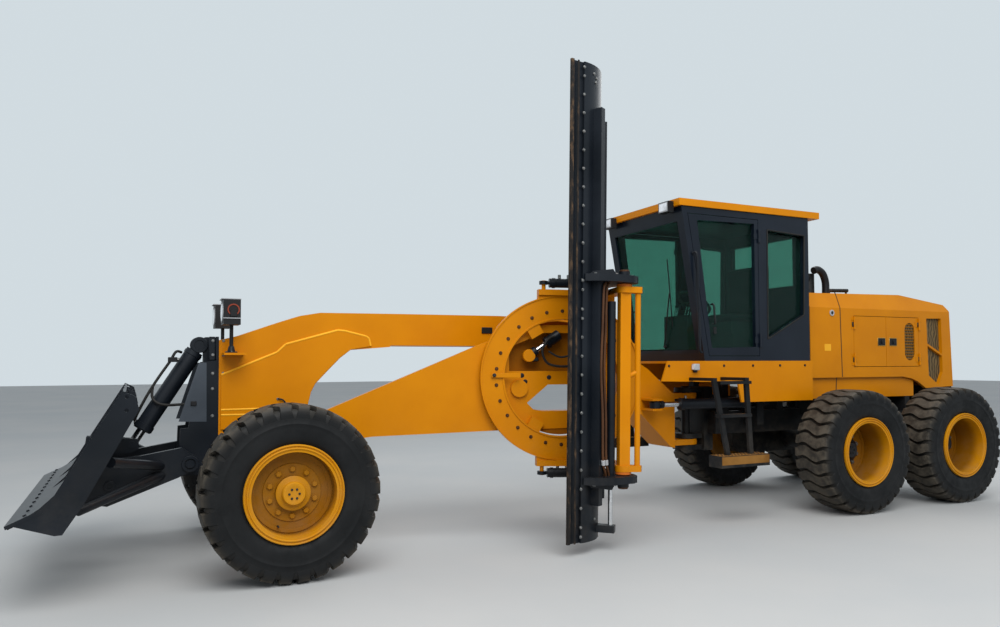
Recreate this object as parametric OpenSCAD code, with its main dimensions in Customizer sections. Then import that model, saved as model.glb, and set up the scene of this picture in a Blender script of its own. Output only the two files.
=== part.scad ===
// Articulated motor grader with a front push blade, its moldboard stowed upright on the left.
// Millimetres: X forward, Y to the machine's left, Z up from the ground.

/* [Wheels] */
// Radius over the lugs, and height of every wheel centre
tyre_r = 640; // [500:5:800]
// Width of a tyre
tyre_w = 430; // [300:5:520]
// Centre plane to a wheel's middle
half_track = 1030; // [850:5:1200]
// Front axle along X
front_axle_x = 3250; // [2600:10:4000]
// Front wheel of each tandem pair along X
tandem_front_x = -2575; // [-3200:5:-2000]
// Distance between the two wheels of a pair
tandem_pitch = 1530; // [1400:5:1800]
// Radius of a rim's flange
flange_r = 355.5; // [300:0.5:420]
// Radius of the bead seat
bead_r = 318; // [280:1:360]
// Kingpin from the centre plane
kingpin_y = 770; // [650:5:820]
// Length of a steering arm
steer_arm = 230; // [150:5:300]

/* [Front frame] */
// Half width of the box section
frame_half = 200; // [120:5:300]
// Front face of the frame
frame_front_x = 3670; // [3400:5:3900]
// Hinge between the two frames
hinge_x = -1200; // [-1600:10:-900]
// Radius of the hinge pin
hinge_pin_r = 45; // [30:1:70]

/* [Rear frame] */
// Rear end of the machine
rear_x = -4950; // [-5400:10:-4500]
// Top of the frame rails
rail_top = 1040; // [900:5:1150]
// Half width of the engine hood
hood_half = 520; // [400:5:700]
// Bottom edge of the hood
hood_low = 1394; // [1200:2:1500]

/* [Cab] */
// Half width of the cab
cab_half = 660; // [500:5:800]
// Thickness of the cab's walls
cab_wall = 50; // [20:1:80]
// Top of the deck that carries the cab
deck_top = 1585; // [1400:5:1700]
// Underside of the roof slab
roof_low = 3145; // [2900:5:3300]
// Thickness of the roof slab
roof_t = 70; // [30:5:120]
// Rear of the cab
cab_rear_x = -2375; // [-2600:5:-2100]
// Thickness of every pane
glass_t = 6; // [4:1:12]

/* [Drawbar and circle] */
// Front ball of the drawbar
ball_x = 3450; // [3200:10:3600]
ball_z = 907; // [700:1:1100]
// Angle the drawbar swings out to the left for stowing
stow_yaw = 16; // [0:0.5:30]
// Ball to the middle of the circle, along the drawbar and up
circle_back = 2722; // [2400:10:3000]
circle_up = 533; // [300:1:700]
// Lean of the stowed moldboard to the rear
circle_lean = 0.9; // [-5:0.1:5]
// Outer and inner radius of the circle
circle_r = 726; // [600:1:900]
circle_in = 515; // [400:1:600]
// Thickness of the circle's ring
circle_t = 60; // [40:1:100]
// Half thickness of the drawbar
drawbar_half = 80; // [50:1:120]

/* [Moldboard] */
// Length of the moldboard
blade_len = 3965; // [3000:5:4500]
// Height of its lower end over the ground, stowed
blade_low = 105; // [20:5:400]
// Radius of the moldboard's curve
blade_r = 400; // [300:5:600]
// Thickness of the moldboard
blade_t = 22; // [12:1:40]
// Width of the cutting edge
edge_w = 200; // [120:5:260]
// Pitch pivot from the circle's middle, back and outward
pivot_back = 440; // [300:5:600]
pivot_out = 390; // [250:5:500]
// Middle of each tilt bracket from the circle's middle
bracket_at = 835; // [700:5:950]
// Thickness of a tilt bracket
bracket_t = 60; // [30:1:90]

/* [Push blade] */
// Half width of the push blade
push_half = 1230; // [1000:5:1400]
// Arm pivot on the mast
push_pivot_x = 3887; // [3700:1:4000]
push_pivot_z = 790; // [600:1:900]
// Middle of an arm from the centre plane
push_arm_y = 300; // [220:5:400]

/* [Placing] */
// Centre plane from the middle of the bounding box, as the moldboard stands out to the left
centre_y = -135; // [-300:1:300]

/* [Fits] */
// Between parts bolted or laid on each other
seat = 0.3; // [0.1:0.1:1]
// Round a pin or a rod
run = 0.2; // [0.1:0.1:1]
// Between a rail and the jaws that slide on it
slide_gap = 2; // [1:0.5:5]
// Between parts that move past each other
clear = 6; // [5:1:15]

/* [Hidden] */
$fn = 48;
yellow = [0.86, 0.55, 0.08];
black = [0.09, 0.09, 0.1];
grey = [0.3, 0.3, 0.32];
chrome = [0.8, 0.8, 0.82];
tinted = [0.35, 0.5, 0.45, 0.5];

lugs = 24;
lug_share = 0.34;
lug_deep = 38;
lug_reach = 205;
lug_root = 40;
spindle_r = 50;

tandem_rear_x = tandem_front_x - tandem_pitch;
tandem_mid_x = (tandem_front_x + tandem_rear_x) / 2;
tandem_axles = [tandem_front_x, tandem_rear_x];
case_in = 590;
case_out = 790;

ear_z = [1210, 710];
ear_t = 60;
ear_r = 120;
rail_y = [200, 280];
rail_z = [800, rail_top];

hinge_r = 11;
cab_hinge_z = [1800, 2900];
hood_hinge_z = [1600, 2020];
hood_hinge_y = hood_half + hinge_r + 1;
deck_t = 25;
deck_low = deck_top - deck_t;
cab_floor = deck_top + seat;
pillar_slope = 0.178;
pillar_foot_x = -925;
door_gap = 6;
door_t = 45;
door_rear_x = -1650;
door_low = 1640;
door_high = 3070;
door_hinge_y = cab_half + hinge_r + 1;
door_hinge_x = door_rear_x - 5;

ball_r = 60;
circle_side = drawbar_half + 10;
shoe_angles = [60, 120, 240, 300];
shoe_reach = 90;
lobe_at = [372, -95];
lobe_r = 75;
drawbar_outline = [
    [-385, -50], [-385, 140], [-circle_back + 710, circle_up + 295], [-circle_back + 210, circle_up + 467],
    [-circle_back - 440, circle_up + 467], [-circle_back - 440, circle_up - 443],
    [-circle_back + 579, circle_up - 463], [-0.395 * circle_back, 36]];
// Openings of the drawbar, from the middle of the circle: under and over its level bar
drawbar_windows = [
    [[300, -224], [240, -285], [150, -297], [-340, -297], [-340, -63], [110, -63]],
    [[460, 57], [-350, 57], [-350, 397], [150, 397], [460, 267]]];
bracket_in = bracket_at - bracket_t / 2;
bracket_out = bracket_at + bracket_t / 2;
arm_at = 750;
rear_tube = [-555, 410];
rear_tube_r = 24;
arm_t = 50;
arm_eye_r = 68;
shift_barrel_r = 35;
edge_tip = [70, 575];
edge_angle = 24;
edge_shown = 120;
curve_start = edge_tip - edge_shown * [cos(edge_angle), sin(edge_angle)];
curve_mid = curve_start + blade_r * [sin(edge_angle), -cos(edge_angle)];
curve_end_angle = 98;
blade_from = blade_low - ball_z - circle_up;
rail_angles = [45, 95];
rail_w = 60;
rail_out = 75;
blade_rail_z = [-1040, 2260];
shift_angle = 153.2;
shift_out = 108;
shift_at = curve_mid + (blade_r + shift_out) * [cos(shift_angle), sin(shift_angle)];
pitch_pin = [-390, 20];
pitch_stud = [170, -10];

front_frame_outline = [
    [frame_front_x, 980], [frame_front_x, 1762], [3510, 1802], [3186, 1919], [3024, 1974],
    [2852, 2005], [2143, 2012], [1141, 2017], [300, 1990], [-200, 1870], [-420, 1753],
    [-440, 1571], [-560, 1500], [-900, 1226], [-898, 667], [-846, 680], [-429, 1071],
    [-200, 1290], [100, 1500], [500, 1660], [1000, 1729], [2224, 1729], [2235, 1715],
    [2589, 1687], [2680, 1617], [2781, 1514], [2892, 1397], [2928, 1327], [2960, 1195],
    [3560, 1195], [3560, 980]];
cab_outline = [
    [pillar_foot_x, cab_floor], [pillar_foot_x + pillar_slope * (roof_low - deck_top), roof_low - seat],
    [cab_rear_x, roof_low - seat], [cab_rear_x, cab_floor]];
door_outline = [
    [pillarX(door_low) - 70, door_low], [pillarX(door_high) - 70, door_high],
    [door_rear_x, door_high], [door_rear_x, door_low]];
door_window = [[-845, 3011], [-1600, 3027], [-1604, 1731], [-1017, 1717]];
side_window = [[-1781, 2976], [-2315, 2948], [-2295, 2083], [-1772, 1816]];
hood_rear_low = 1265;
hood_outline = [
    [-2534, hood_low], [-2534, 2354], [-4104, 2382], [-4852, 2277], [-4906, 2204],
    [rear_x, hood_rear_low], [-4850, hood_rear_low], [-4446, 1251], [-4380, 1290], [-4300, 1335],
    [-4190, 1372], [-4039, hood_low]];
hood_window = [
    [-4477, 2099], [-4750, 2105], [-4763, 1444], [-4681, 1287], [-4504, 1402]];

// Rows of the steerable and driven wheels: x, side, dished deep
wheel_x = 0;
wheel_side = 1;
wheel_dished = 2;

// Rows of the rams: barrel pin, rod pin, radii, lengths, eye, roll of the eye's axis, foot of the bore
ram_from = 0;
ram_to = 1;
ram_barrel_r = 2;
ram_rod_r = 3;
ram_barrel_len = 4;
ram_rod_len = 5;
ram_eye_r = 6;
ram_eye_w = 7;
ram_pin_r = 8;
ram_roll = 9;
ram_bore_from = 10;
hinge_ram = [[-1700, 430, 1140], [-533, 350, 1140], 55, 28, 880, 560, 48, 50, 25, 0, 380];
push_ram = [[3808, 0, 1725], [4299, 0, 932], 68, 35, 802, 470, 50, 60, 28, 90, 400];
lift_saddle = [640, -150];
lift_back = 2900;
lift_in = 150;
lift_pin = [
    ball_x - lift_back * cos(stow_yaw) - lift_in * sin(stow_yaw),
    lift_back * sin(stow_yaw) - lift_in * cos(stow_yaw)];
lift_z = [2090, ball_z + circle_up + 2];
lift_rams = [for (z = lift_z) [
    [lift_saddle.x, lift_saddle.y, z], [lift_pin.x, lift_pin.y, z], 50, 28, 490, 495, 45, 45, 20, 0, 62]];
pitch_ram_z = bracket_at;
pitch_ram = [
    [pitch_stud[0], pitch_stud[1], 0], [pitch_pin[0], pitch_pin[1], 0], 41, 16, 300, 290, 40, 30, 18, 0, 62];

function pillarX(z) = pillar_foot_x + pillar_slope * (z - deck_top);
function grow(points, about, k) = [for (p = points) about + (p - about) * k];
function ramLength(r) = norm(r[ram_to] - r[ram_from]);

module box(x, y, z) translate([x[0], y[0], z[0]]) cube([x[1] - x[0], y[1] - y[0], z[1] - z[0]]);
module alongX(x0, x1) translate([x0, 0, 0]) rotate([90, 0, 90]) linear_extrude(x1 - x0) children();
module alongY(y0, y1) translate([0, y1, 0]) rotate([90, 0, 0]) linear_extrude(y1 - y0) children();
module alongZ(z0, z1) translate([0, 0, z0]) linear_extrude(z1 - z0) children();
module rodX(at, r, x0, x1) alongX(x0, x1) translate(at) circle(r);
module rodY(at, r, y0, y1) alongY(y0, y1) translate(at) circle(r);
module rodZ(at, r, z0, z1) alongZ(z0, z1) translate(at) circle(r);
// A hinge's knuckles stand on one axis: the door's in the middle, the wall's above and below it
module doorKnuckles(at, z) for (c = z) rodZ(at, hinge_r, c - 30, c + 30);
module wallKnuckles(at, z) for (c = z) {
    for (s = [-1, 1]) rodZ(at, hinge_r, c + s * 50 - 20 + seat, c + s * 50 + 20 - seat);
    rodZ(at, hinge_r / 2, c - 60, c + 60);
}
module knuckleBores(at, z) for (c = z) rodZ(at, hinge_r / 2 + run, c - 31, c + 31);
module placed() translate([0, centre_y, 0]) children();
module bothSides() {
    children();
    mirror([0, 1, 0]) children();
}
module bar(a, b, r) {
    d = b - a;
    translate(a) rotate([0, acos(d.z / norm(d)), atan2(d.y, d.x)]) cylinder(r = r, h = norm(d));
}
module between(a, b) {
    d = b - a;
    translate(a) rotate([0, -asin(d.z / norm(d)), atan2(d.y, d.x)]) children();
}
module stow() translate([ball_x, 0, ball_z]) rotate([0, 0, -stow_yaw]) children();
module atCircle() stow() translate([-circle_back, circle_side + circle_t, circle_up])
    rotate([0, -circle_lean, 0]) children();
module bothEnds() {
    children();
    mirror([0, 0, 1]) children();
}

// The outer diameter is taken off one end of the rod, so a barrel's bore holds it all along
module ramBarrel(r) color(black) between(r[ram_from], r[ram_to]) rotate([r[ram_roll], 0, 0]) difference() {
    union() {
        rodZ([0, 0], r[ram_eye_r], -r[ram_eye_w] / 2, r[ram_eye_w] / 2);
        rodX([0, 0], r[ram_barrel_r], r[ram_eye_r] + 8, r[ram_barrel_len]);
        rodX([0, 0], 0.45 * r[ram_eye_w], 0, r[ram_eye_r] + 9);
    }
    rodX([0, 0], r[ram_rod_r] + run, r[ram_bore_from], r[ram_barrel_len] + 1);
    rodZ([0, 0], r[ram_pin_r] + run, -r[ram_eye_w], r[ram_eye_w]);
}
module ramRod(r) color(chrome) between(r[ram_to], r[ram_from]) rotate([r[ram_roll], 0, 0]) {
    rodZ([0, 0], r[ram_eye_r], -r[ram_eye_w] / 2, r[ram_eye_w] / 2);
    rodX([0, 0], r[ram_rod_r], 0, r[ram_rod_len]);
}

module placeWheel(w) {
    translate([w[wheel_x], 0, tyre_r]) mirror([0, w[wheel_side] < 0 ? 1 : 0, 0])
        translate([0, half_track, 0]) rotate([-90, 0, 0]) children();
}
// Lugs stand in two staggered rows that meet in the middle of the tread
module tyre(w) color(black) placeWheel(w) {
    rotate_extrude() polygon([
        [bead_r + seat, -188], [flange_r + 4, -188], [470, -tyre_w / 2], [560, -tyre_w / 2],
        [tyre_r - lug_deep, -lug_reach + 8], [tyre_r - lug_deep, lug_reach - 8], [560, tyre_w / 2],
        [470, tyre_w / 2], [flange_r + 4, 188], [bead_r + seat, 188]]);
    lugRow(0, lug_reach, 0);
    lugRow(-lug_reach, 1, 180 / lugs);
}
module lugRow(z0, z1, turn) alongZ(z0, z1) difference() {
    polygon([
        for (i = [0:lugs - 1]) for (c = [[-lug_share, tyre_r - lug_deep - 15], [-lug_share + 0.03, tyre_r],
            [lug_share - 0.03, tyre_r], [lug_share, tyre_r - lug_deep - 15]])
            c[1] * [cos(turn + (i + c[0]) * 360 / lugs), sin(turn + (i + c[0]) * 360 / lugs)]]);
    circle(tyre_r - lug_deep - lug_root);
}
module rim(w) {
    disc = w[wheel_dished] ? -120 : 70;
    hub_in = w[wheel_dished] ? -215 : -60;
    hub_out = w[wheel_dished] ? -60 : 130;
    color(yellow) placeWheel(w) rotate_extrude() polygon([
        [300, -204], [flange_r, -204], [flange_r, -189], [bead_r, -188 - seat / 2],
        [bead_r, 188 + seat / 2], [flange_r, 189], [flange_r, 204], [300, 204],
        [300, disc + 8], [120, disc + 8], [120, hub_out], [spindle_r + run, hub_out],
        [spindle_r + run, hub_in], [120, hub_in], [120, disc - 8], [300, disc - 8]]);
}
front_left = [front_axle_x, 1, false];
front_right = [front_axle_x, -1, false];
rear_a_left = [tandem_front_x, 1, true];
rear_a_right = [tandem_front_x, -1, true];
rear_b_left = [tandem_rear_x, 1, true];
rear_b_right = [tandem_rear_x, -1, true];

module tyre_front_left() placed() tyre(front_left);
module rim_front_left() placed() rim(front_left);
module tyre_front_right() placed() tyre(front_right);
module rim_front_right() placed() rim(front_right);
module tyre_mid_left() placed() tyre(rear_a_left);
module rim_mid_left() placed() rim(rear_a_left);
module tyre_mid_right() placed() tyre(rear_a_right);
module rim_mid_right() placed() rim(rear_a_right);
module tyre_rear_left() placed() tyre(rear_b_left);
module rim_rear_left() placed() rim(rear_b_left);
module tyre_rear_right() placed() tyre(rear_b_right);
module rim_rear_right() placed() rim(rear_b_right);

// Front frame
module front_frame() placed() color(yellow) difference() {
    union() {
        alongY(-frame_half, frame_half) polygon(front_frame_outline);
        for (z = ear_z) alongZ(z - ear_t / 2, z + ear_t / 2) {
            translate([hinge_x, 0]) circle(ear_r);
            translate([hinge_x, -ear_r]) square([320, 2 * ear_r]);
        }
        bothSides() {
            for (z = [1090, 1190]) box([-590, -470], [frame_half - 10, 400], [z - 10, z + 10]);
            for (z = [1074, 1200]) rodZ([-533, 350], 25, z, z + 6);
            box([3480, 3650], [frame_half - 10, 400], [1640, 1657]);
        }
        for (x = [-102, 102]) box(
            [front_axle_x + x - 20, front_axle_x + x + 20], [-frame_half, frame_half], [560, 1200]);
        box([3560, 3660], [-120, 120], [830, 1000]);
        rodX([0, ball_z], 30, ball_x + 30, 3580);
        translate([ball_x, 0, ball_z]) sphere(ball_r);
        // saddle over the neck
        for (r = lift_rams) {
            for (z = [r[ram_from].z - 38, r[ram_from].z + 38]) box([600, 680], [-240, -118], [z - 10, z + 10]);
            rodZ([r[ram_from].x, r[ram_from].y], r[ram_pin_r], r[ram_from].z - 48, r[ram_from].z + 48);
        }
        box([600, 680], [-240, -199], [lift_z[1] - 48, lift_z[0] + 48]);
    }
    for (z = ear_z) rodZ([hinge_x, 0], hinge_pin_r + run, z - ear_t, z + ear_t);
    box([front_axle_x - 140, front_axle_x + 140], [-165, 165], [790, 1150]);
    rodX([0, tyre_r], 40 + run, front_axle_x - 140, front_axle_x + 140);
}
module front_axle() placed() color(black) {
    box([front_axle_x - 75, front_axle_x + 75], [-700, 700], [565, 715]);
    rodX([0, tyre_r], 40, front_axle_x - 130, front_axle_x + 130);
    bothSides() {
        box([front_axle_x - 50, front_axle_x + 50], [690, kingpin_y], [600, 680]);
        rodZ([front_axle_x, kingpin_y], 60, 600, 680);
        rodZ([front_axle_x, kingpin_y], 30, 552, 729);
    }
}
module knuckle() color(black) difference() {
    union() {
        for (z = [550, 690]) alongZ(z, z + 40) {
            translate([front_axle_x, kingpin_y]) circle(65);
            translate([front_axle_x - 65, kingpin_y]) square([130, 90]);
        }
        box([front_axle_x - 90, front_axle_x + 90], [kingpin_y + 75, kingpin_y + 100], [550, 730]);
        rodY([front_axle_x, tyre_r], spindle_r, kingpin_y + 80, half_track + 120);
        rodZ([front_axle_x, kingpin_y], 65, 490, 551);
        alongZ(490, 530) {
            translate([front_axle_x - steer_arm, kingpin_y - 35]) square([steer_arm, 70]);
            translate([front_axle_x - steer_arm, kingpin_y]) circle(35);
        }
        rodZ([front_axle_x - steer_arm, kingpin_y], 15, 450, 500);
    }
    rodZ([front_axle_x, kingpin_y], 30 + run, 551.5, 740);
}
module knuckle_left() placed() knuckle();
module knuckle_right() placed() mirror([0, 1, 0]) knuckle();
module tie_rod() placed() color(black) difference() {
    union() {
        bothSides() rodZ([front_axle_x - steer_arm, kingpin_y], 32, 455, 484);
        rodY([front_axle_x - steer_arm, 469.5], 14, -kingpin_y + 25, kingpin_y - 25);
    }
    bothSides() rodZ([front_axle_x - steer_arm, kingpin_y], 15 + run, 440, 500);
}
module push_mast() placed() color(grey) {
    back = frame_front_x + seat;
    bothSides() alongY(frame_half - 20, frame_half) polygon([
        [back, 683], [back, 1600], [3784, 1585], [3897, 1060], [3955, 1055], [3966, 683]]);
    box([back, back + 25], [-frame_half, frame_half], [683, 1600]);
    box([back, 3950], [-frame_half, frame_half], [683, 708]);
    bothSides() {
        alongY(35, 55) polygon([
            [back, 1500], [back, 1790], [3760, 1790], [3835, 1765], [3842, 1725], [3820, 1692], [3775, 1680],
            [3775, 1500]]);
        rodY([push_pivot_x, push_pivot_z], 60, frame_half - 10, push_arm_y - 25 - clear);
    }
    rodY([push_pivot_x, push_pivot_z], 32, -push_arm_y - 40, push_arm_y + 40);
    rodY([push_ram[0].x, push_ram[0].z], 28, -60, 60);
}
module headlamps() placed() color(black) bothSides() {
    box([3530, 3660], [237, 423], [1880, 2080]);
    rodZ([3590, 330], 15, 1657 + seat, 1885);
}

module hinge_barrel_left() placed() ramBarrel(hinge_ram);
module hinge_rod_left() placed() ramRod(hinge_ram);
module hinge_barrel_right() placed() mirror([0, 1, 0]) ramBarrel(hinge_ram);
module hinge_rod_right() placed() mirror([0, 1, 0]) ramRod(hinge_ram);

// Push blade
push_curve_mid = [5446, 1574];
push_curve_r = 1100;
wing_hole_x = 4336;
wing_hole_z = [1268, 1355];
wing_hole_r = 13;
push_plate = [
    [4361, 1395], [4285, 1357], [4261, 1273], [4580, 669], [4693, 494], [4737, 493], [4968, 573],
    [4860, 632], [4740, 747], [4629, 940]];
module push_blade() placed() color(black) difference() {
    union() {
        alongY(-push_half, push_half) intersection() {
            difference() {
                translate(push_curve_mid) circle(push_curve_r + 20, $fn = 96);
                translate(push_curve_mid) circle(push_curve_r, $fn = 96);
            }
            polygon([[4250, 1390], [4250, 600], [4900, 500], [5000, 560], [5000, 1390]]);
        }
        alongY(-push_half - 12, push_half + 12) polygon([[4800, 640], [4815, 662], [5007, 575], [5000, 555]]);
        for (y = [-push_half, -push_arm_y, push_arm_y, push_half]) alongY(y - 10, y + 10) polygon(push_plate);
        bothSides() {
            alongY(push_arm_y - 25, push_arm_y + 25) {
                polygon([[3887, 725], [3973, 687], [4464, 503], [4607, 533], [4700, 600], [4500, 850],
                    [4250, 868], [3946, 918], [3850, 845], [3825, 790], [3840, 745]]);
                translate([push_pivot_x, push_pivot_z]) circle(75);
            }
            bar([4430, 1000, 906], [4095, push_arm_y, 783], 35);
            bar([4620, 1000, 600], [4087, push_arm_y, 714], 35);
            alongY(35, 55) polygon([[4250, 975], [4620, 1010], [4640, 850], [4300, 870], [4250, 900]]);
        }
        bothSides() rodY([push_ram[1].x, push_ram[1].z], 28, 54, 62);
    }
    rodY([push_pivot_x, push_pivot_z], 32 + run, -500, 500);
    for (z = wing_hole_z) rodY([wing_hole_x, z], wing_hole_r, -push_half - 20, push_half + 20);
}
module push_barrel() placed() ramBarrel(push_ram);
module push_rod() placed() ramRod(push_ram);

// Drawbar, circle, tilt bracket and moldboard, in the stowed frame
module drawbar() placed() color(yellow) stow() difference() {
    union() {
        rodZ([0, 0], ball_r + 18, -ball_r, ball_r);
        box([-420, 0], [-45, 45], [-50, 50]);
        difference() {
            alongY(-drawbar_half, drawbar_half) polygon(drawbar_outline);
            for (w = drawbar_windows) alongY(-drawbar_half - 1, drawbar_half + 1)
                translate([-circle_back, circle_up]) polygon(w);
        }
        translate([-circle_back, 0, circle_up]) {
            // guide shoes inside the ring
            alongY(drawbar_half - 10, circle_side + circle_t) intersection() {
                circle(circle_in - seat, $fn = 96);
                for (a = shoe_angles)
                    rotate(a) translate([circle_in - shoe_reach, -60]) square([shoe_reach, 120]);
            }
            alongY(drawbar_half - 10, circle_side + 20) translate(lobe_at) circle(lobe_r);
        }
        // clevises of the lift rams
        box([-lift_back - 60, -lift_back + 60], [-drawbar_half, -20],
            [circle_up + 450, lift_z[0] - ball_z + 50]);
        for (z = lift_z) translate([-lift_back, -lift_in, z - ball_z]) rotate([0, 0, stow_yaw]) {
            for (s = [-1, 1]) rodZ([0, 0], 20, s * 51 - 3, s * 51 + 3);
            for (s = [-1, 1]) box([-40, 40], [-40, 75], [s * 38 - 10, s * 38 + 10]);
        }
    }
    rodZ([0, 0], ball_r + run, -ball_r - 1, ball_r + 1);
    box([20, 100], [-100, 100], [-100, 100]);
}
module turn_circle() placed() color(yellow) atCircle() difference() {
    union() {
        difference() {
            union() {
                alongY(-circle_t, 0) circle(circle_r, $fn = 96);
                alongY(-circle_t, 8) circle(circle_r - 1, $fn = 96);
            }
            alongY(0, 9) circle(circle_r - 12, $fn = 96);
            alongY(-circle_t - 1, 1) circle(circle_in, $fn = 96);
        }
        bothEnds() {
            box([-480, 220], [-circle_t, 0], [560, arm_at + arm_t / 2]);
            alongZ(arm_at - arm_t / 2, arm_at + arm_t / 2) {
                polygon([
                    [220, -60], [220, 20], [-250, 45], [-pivot_back + arm_eye_r, 90],
                    [-pivot_back + arm_eye_r, pivot_out], [-515, pivot_out], [-480, -60]]);
                translate([-pivot_back, pivot_out]) circle(arm_eye_r);
                polygon([
                    [-pivot_back, pivot_out + 60], [rear_tube.x - 20, rear_tube.y + 40],
                    [rear_tube.x - 40, rear_tube.y], [rear_tube.x - 30, rear_tube.y - 40],
                    [-pivot_back, pivot_out - 70]]);
            }
            rodZ(pitch_stud, 18, arm_at, bracket_out - 10);
        }
        box([-pivot_back - 45, -pivot_back + 45], [pivot_out - 45, pivot_out + 45], [-arm_at, arm_at]);
        rodZ(rear_tube, rear_tube_r, -arm_at, arm_at);
        bar([-pivot_back, pivot_out, 0], [rear_tube.x, rear_tube.y, 60], 20);
    }
    rodZ([-pivot_back, pivot_out], 40 + run, -1000, 1000);
}
module bladeCurve(r0, r1, a0, a1) translate(curve_mid) intersection() {
    difference() {
        circle(r1, $fn = 96);
        circle(r0, $fn = 96);
    }
    polygon([[0, 0], for (a = [a0, (a0 + a1) / 2, a1]) 2 * r1 * [cos(a + 90), sin(a + 90)]]);
}
module atRail(a) translate(curve_mid) rotate(a + 90) translate([blade_r, 0]) children();
module blade() placed() color(black) atCircle() {
    difference() {
        union() {
            alongZ(blade_from, blade_from + blade_len) {
                bladeCurve(blade_r - blade_t, blade_r, edge_angle, curve_end_angle);
                translate(edge_tip) rotate(180 + edge_angle) translate([0, blade_t]) square([edge_w, 16]);
            }
            alongZ(blade_rail_z[0], blade_rail_z[1]) for (a = rail_angles)
                atRail(a) translate([-4, -rail_w / 2]) square([rail_out + 4, rail_w]);
            alongZ(-1280, -1220) translate(curve_mid) rotate(shift_angle)
                translate([blade_r - 4, -40]) square([shift_out + 42, 80]);
        }
        rodZ(shift_at, 20 + run, -1300, -1200);
    }
}
module tilt_bracket() placed() color(black) atCircle() {
    difference() {
        union() bothEnds() alongZ(bracket_in, bracket_out) {
            polygon([[-60, 530], [-164, 570], [-330, 560], [-440, 500], [-550, 430], [-550, 340], [-440, 60],
                [-258, 60], [0, 200]]);
            translate([-pivot_back, pivot_out]) circle(110);
            translate(pitch_pin) circle(45);
        }
        bothEnds() alongZ(bracket_in - 1, bracket_out + 1) {
            translate(curve_mid) circle(blade_r + clear, $fn = 96);
            for (a = rail_angles) atRail(a) translate([-50, -rail_w / 2 - slide_gap])
                square([rail_out + slide_gap + 50, rail_w + 2 * slide_gap]);
        }
        bothEnds() alongZ(bracket_at - 17, bracket_at + 17) translate(pitch_pin) circle(95);
        rodZ(shift_at, 24, -bracket_out - 1, -bracket_in + 1);
    }
    rodZ([-pivot_back, pivot_out], 40, -bracket_out - 30, bracket_out + 30);
    bothEnds() rodZ([-pivot_back, pivot_out], 48, bracket_out, bracket_out + 40);
    bothEnds() for (z = [bracket_in, bracket_out]) rodZ(pitch_pin, 20, z - 6, z + 6);
}
module shift_barrel() placed() color(black) atCircle() difference() {
    rodZ(shift_at, shift_barrel_r, -bracket_in + seat, 650);
    rodZ(shift_at, 20 + run, -bracket_in - 1, 620);
}
module shift_rod() placed() color(chrome) atCircle() rodZ(shift_at, 20, -1275, 550);
module pitch_barrels() placed() atCircle() bothEnds() translate([0, 0, pitch_ram_z]) ramBarrel(pitch_ram);
module pitch_rods() placed() atCircle() bothEnds() translate([0, 0, pitch_ram_z]) ramRod(pitch_ram);
module lift_barrels() placed() for (r = lift_rams) ramBarrel(r);
module lift_rods() placed() for (r = lift_rams) ramRod(r);

// Rear frame
module rear_frame() placed() color(black) {
    bothSides() box([rear_x + 20, -1380], rail_y, rail_z);
    box([-1480, -1380], [-rail_y[1], rail_y[1]], rail_z);
    box([-1450, -1330], [-150, 150], [ear_z[1] - 95, ear_z[0] + 95]);
    for (z = ear_z) for (s = [-1, 1]) {
        zm = z + s * (ear_t / 2 + clear + 25);
        alongZ(zm - 25, zm + 25) {
            translate([hinge_x, 0]) circle(ear_r);
            translate([hinge_x - 150, -ear_r]) square([150, 2 * ear_r]);
        }
    }
    rodZ([hinge_x, 0], hinge_pin_r, ear_z[1] - 100, ear_z[0] + 100);
    bothSides() {
        box([-1860, -1770], [rail_y[0], 490], [900, 1195]);
        for (z = [1090, 1190]) {
            box([-1780, -1700], [385, 475], [z - 10, z + 10]);
            rodZ([-1700, 430], 45, z - 10, z + 10);
        }
        rodZ([-1700, 430], 25, 1080, 1200);
        for (x = [-1560, -2350]) box([x, x + 80], rail_y, [rail_top - 10, deck_low - seat]);
        for (x = [-2700, -4200]) box([x, x + 80], [rail_y[0], 478], [rail_top - 60, 1160 - seat]);
    }
    box([rear_x, rear_x + 100], [-500, 500], [780, hood_rear_low - seat]);
    for (x = [-2200, -2800, -4400]) box([x, x + 80], [-rail_y[1], rail_y[1]], rail_z);
}
module tandem_drive() placed() color(black) {
    rodY([tandem_mid_x, tyre_r], 150, -case_out + 20, case_out - 20);
    bothSides() {
        hull() for (x = tandem_axles) rodY([x, tyre_r], 190, case_in, case_out);
        for (x = tandem_axles) rodY([x, tyre_r], spindle_r, case_out - 10, half_track - 62);
        box([tandem_mid_x - 100, tandem_mid_x + 100], rail_y, [650, rail_z[0] - seat]);
    }
}
module engine() placed() color(grey) box([-4100, -3000], [-300, 300], [rail_top + seat, 1900]);
module cab_base() placed() color(yellow) {
    box([-2414, -680], [-cab_half, cab_half], [deck_low, deck_top]);
    bothSides() alongY(cab_half - 20, cab_half) polygon([
        [-465, deck_top], [-389, 1385], [-1353, 1367], [-1400, 1158], [-2408, 1158], [-2414, deck_top]]);
}
module cab_frame() placed() color(black) {
    bothSides() {
        wallKnuckles([door_hinge_x, door_hinge_y], cab_hinge_z);
        for (z = cab_hinge_z) for (c = [z - 50, z + 50])
            box([door_hinge_x - 40, door_hinge_x - 4], [cab_half - 1, cab_half + 6], [c - 19, c + 19]);
    }
    cabShell();
}
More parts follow.
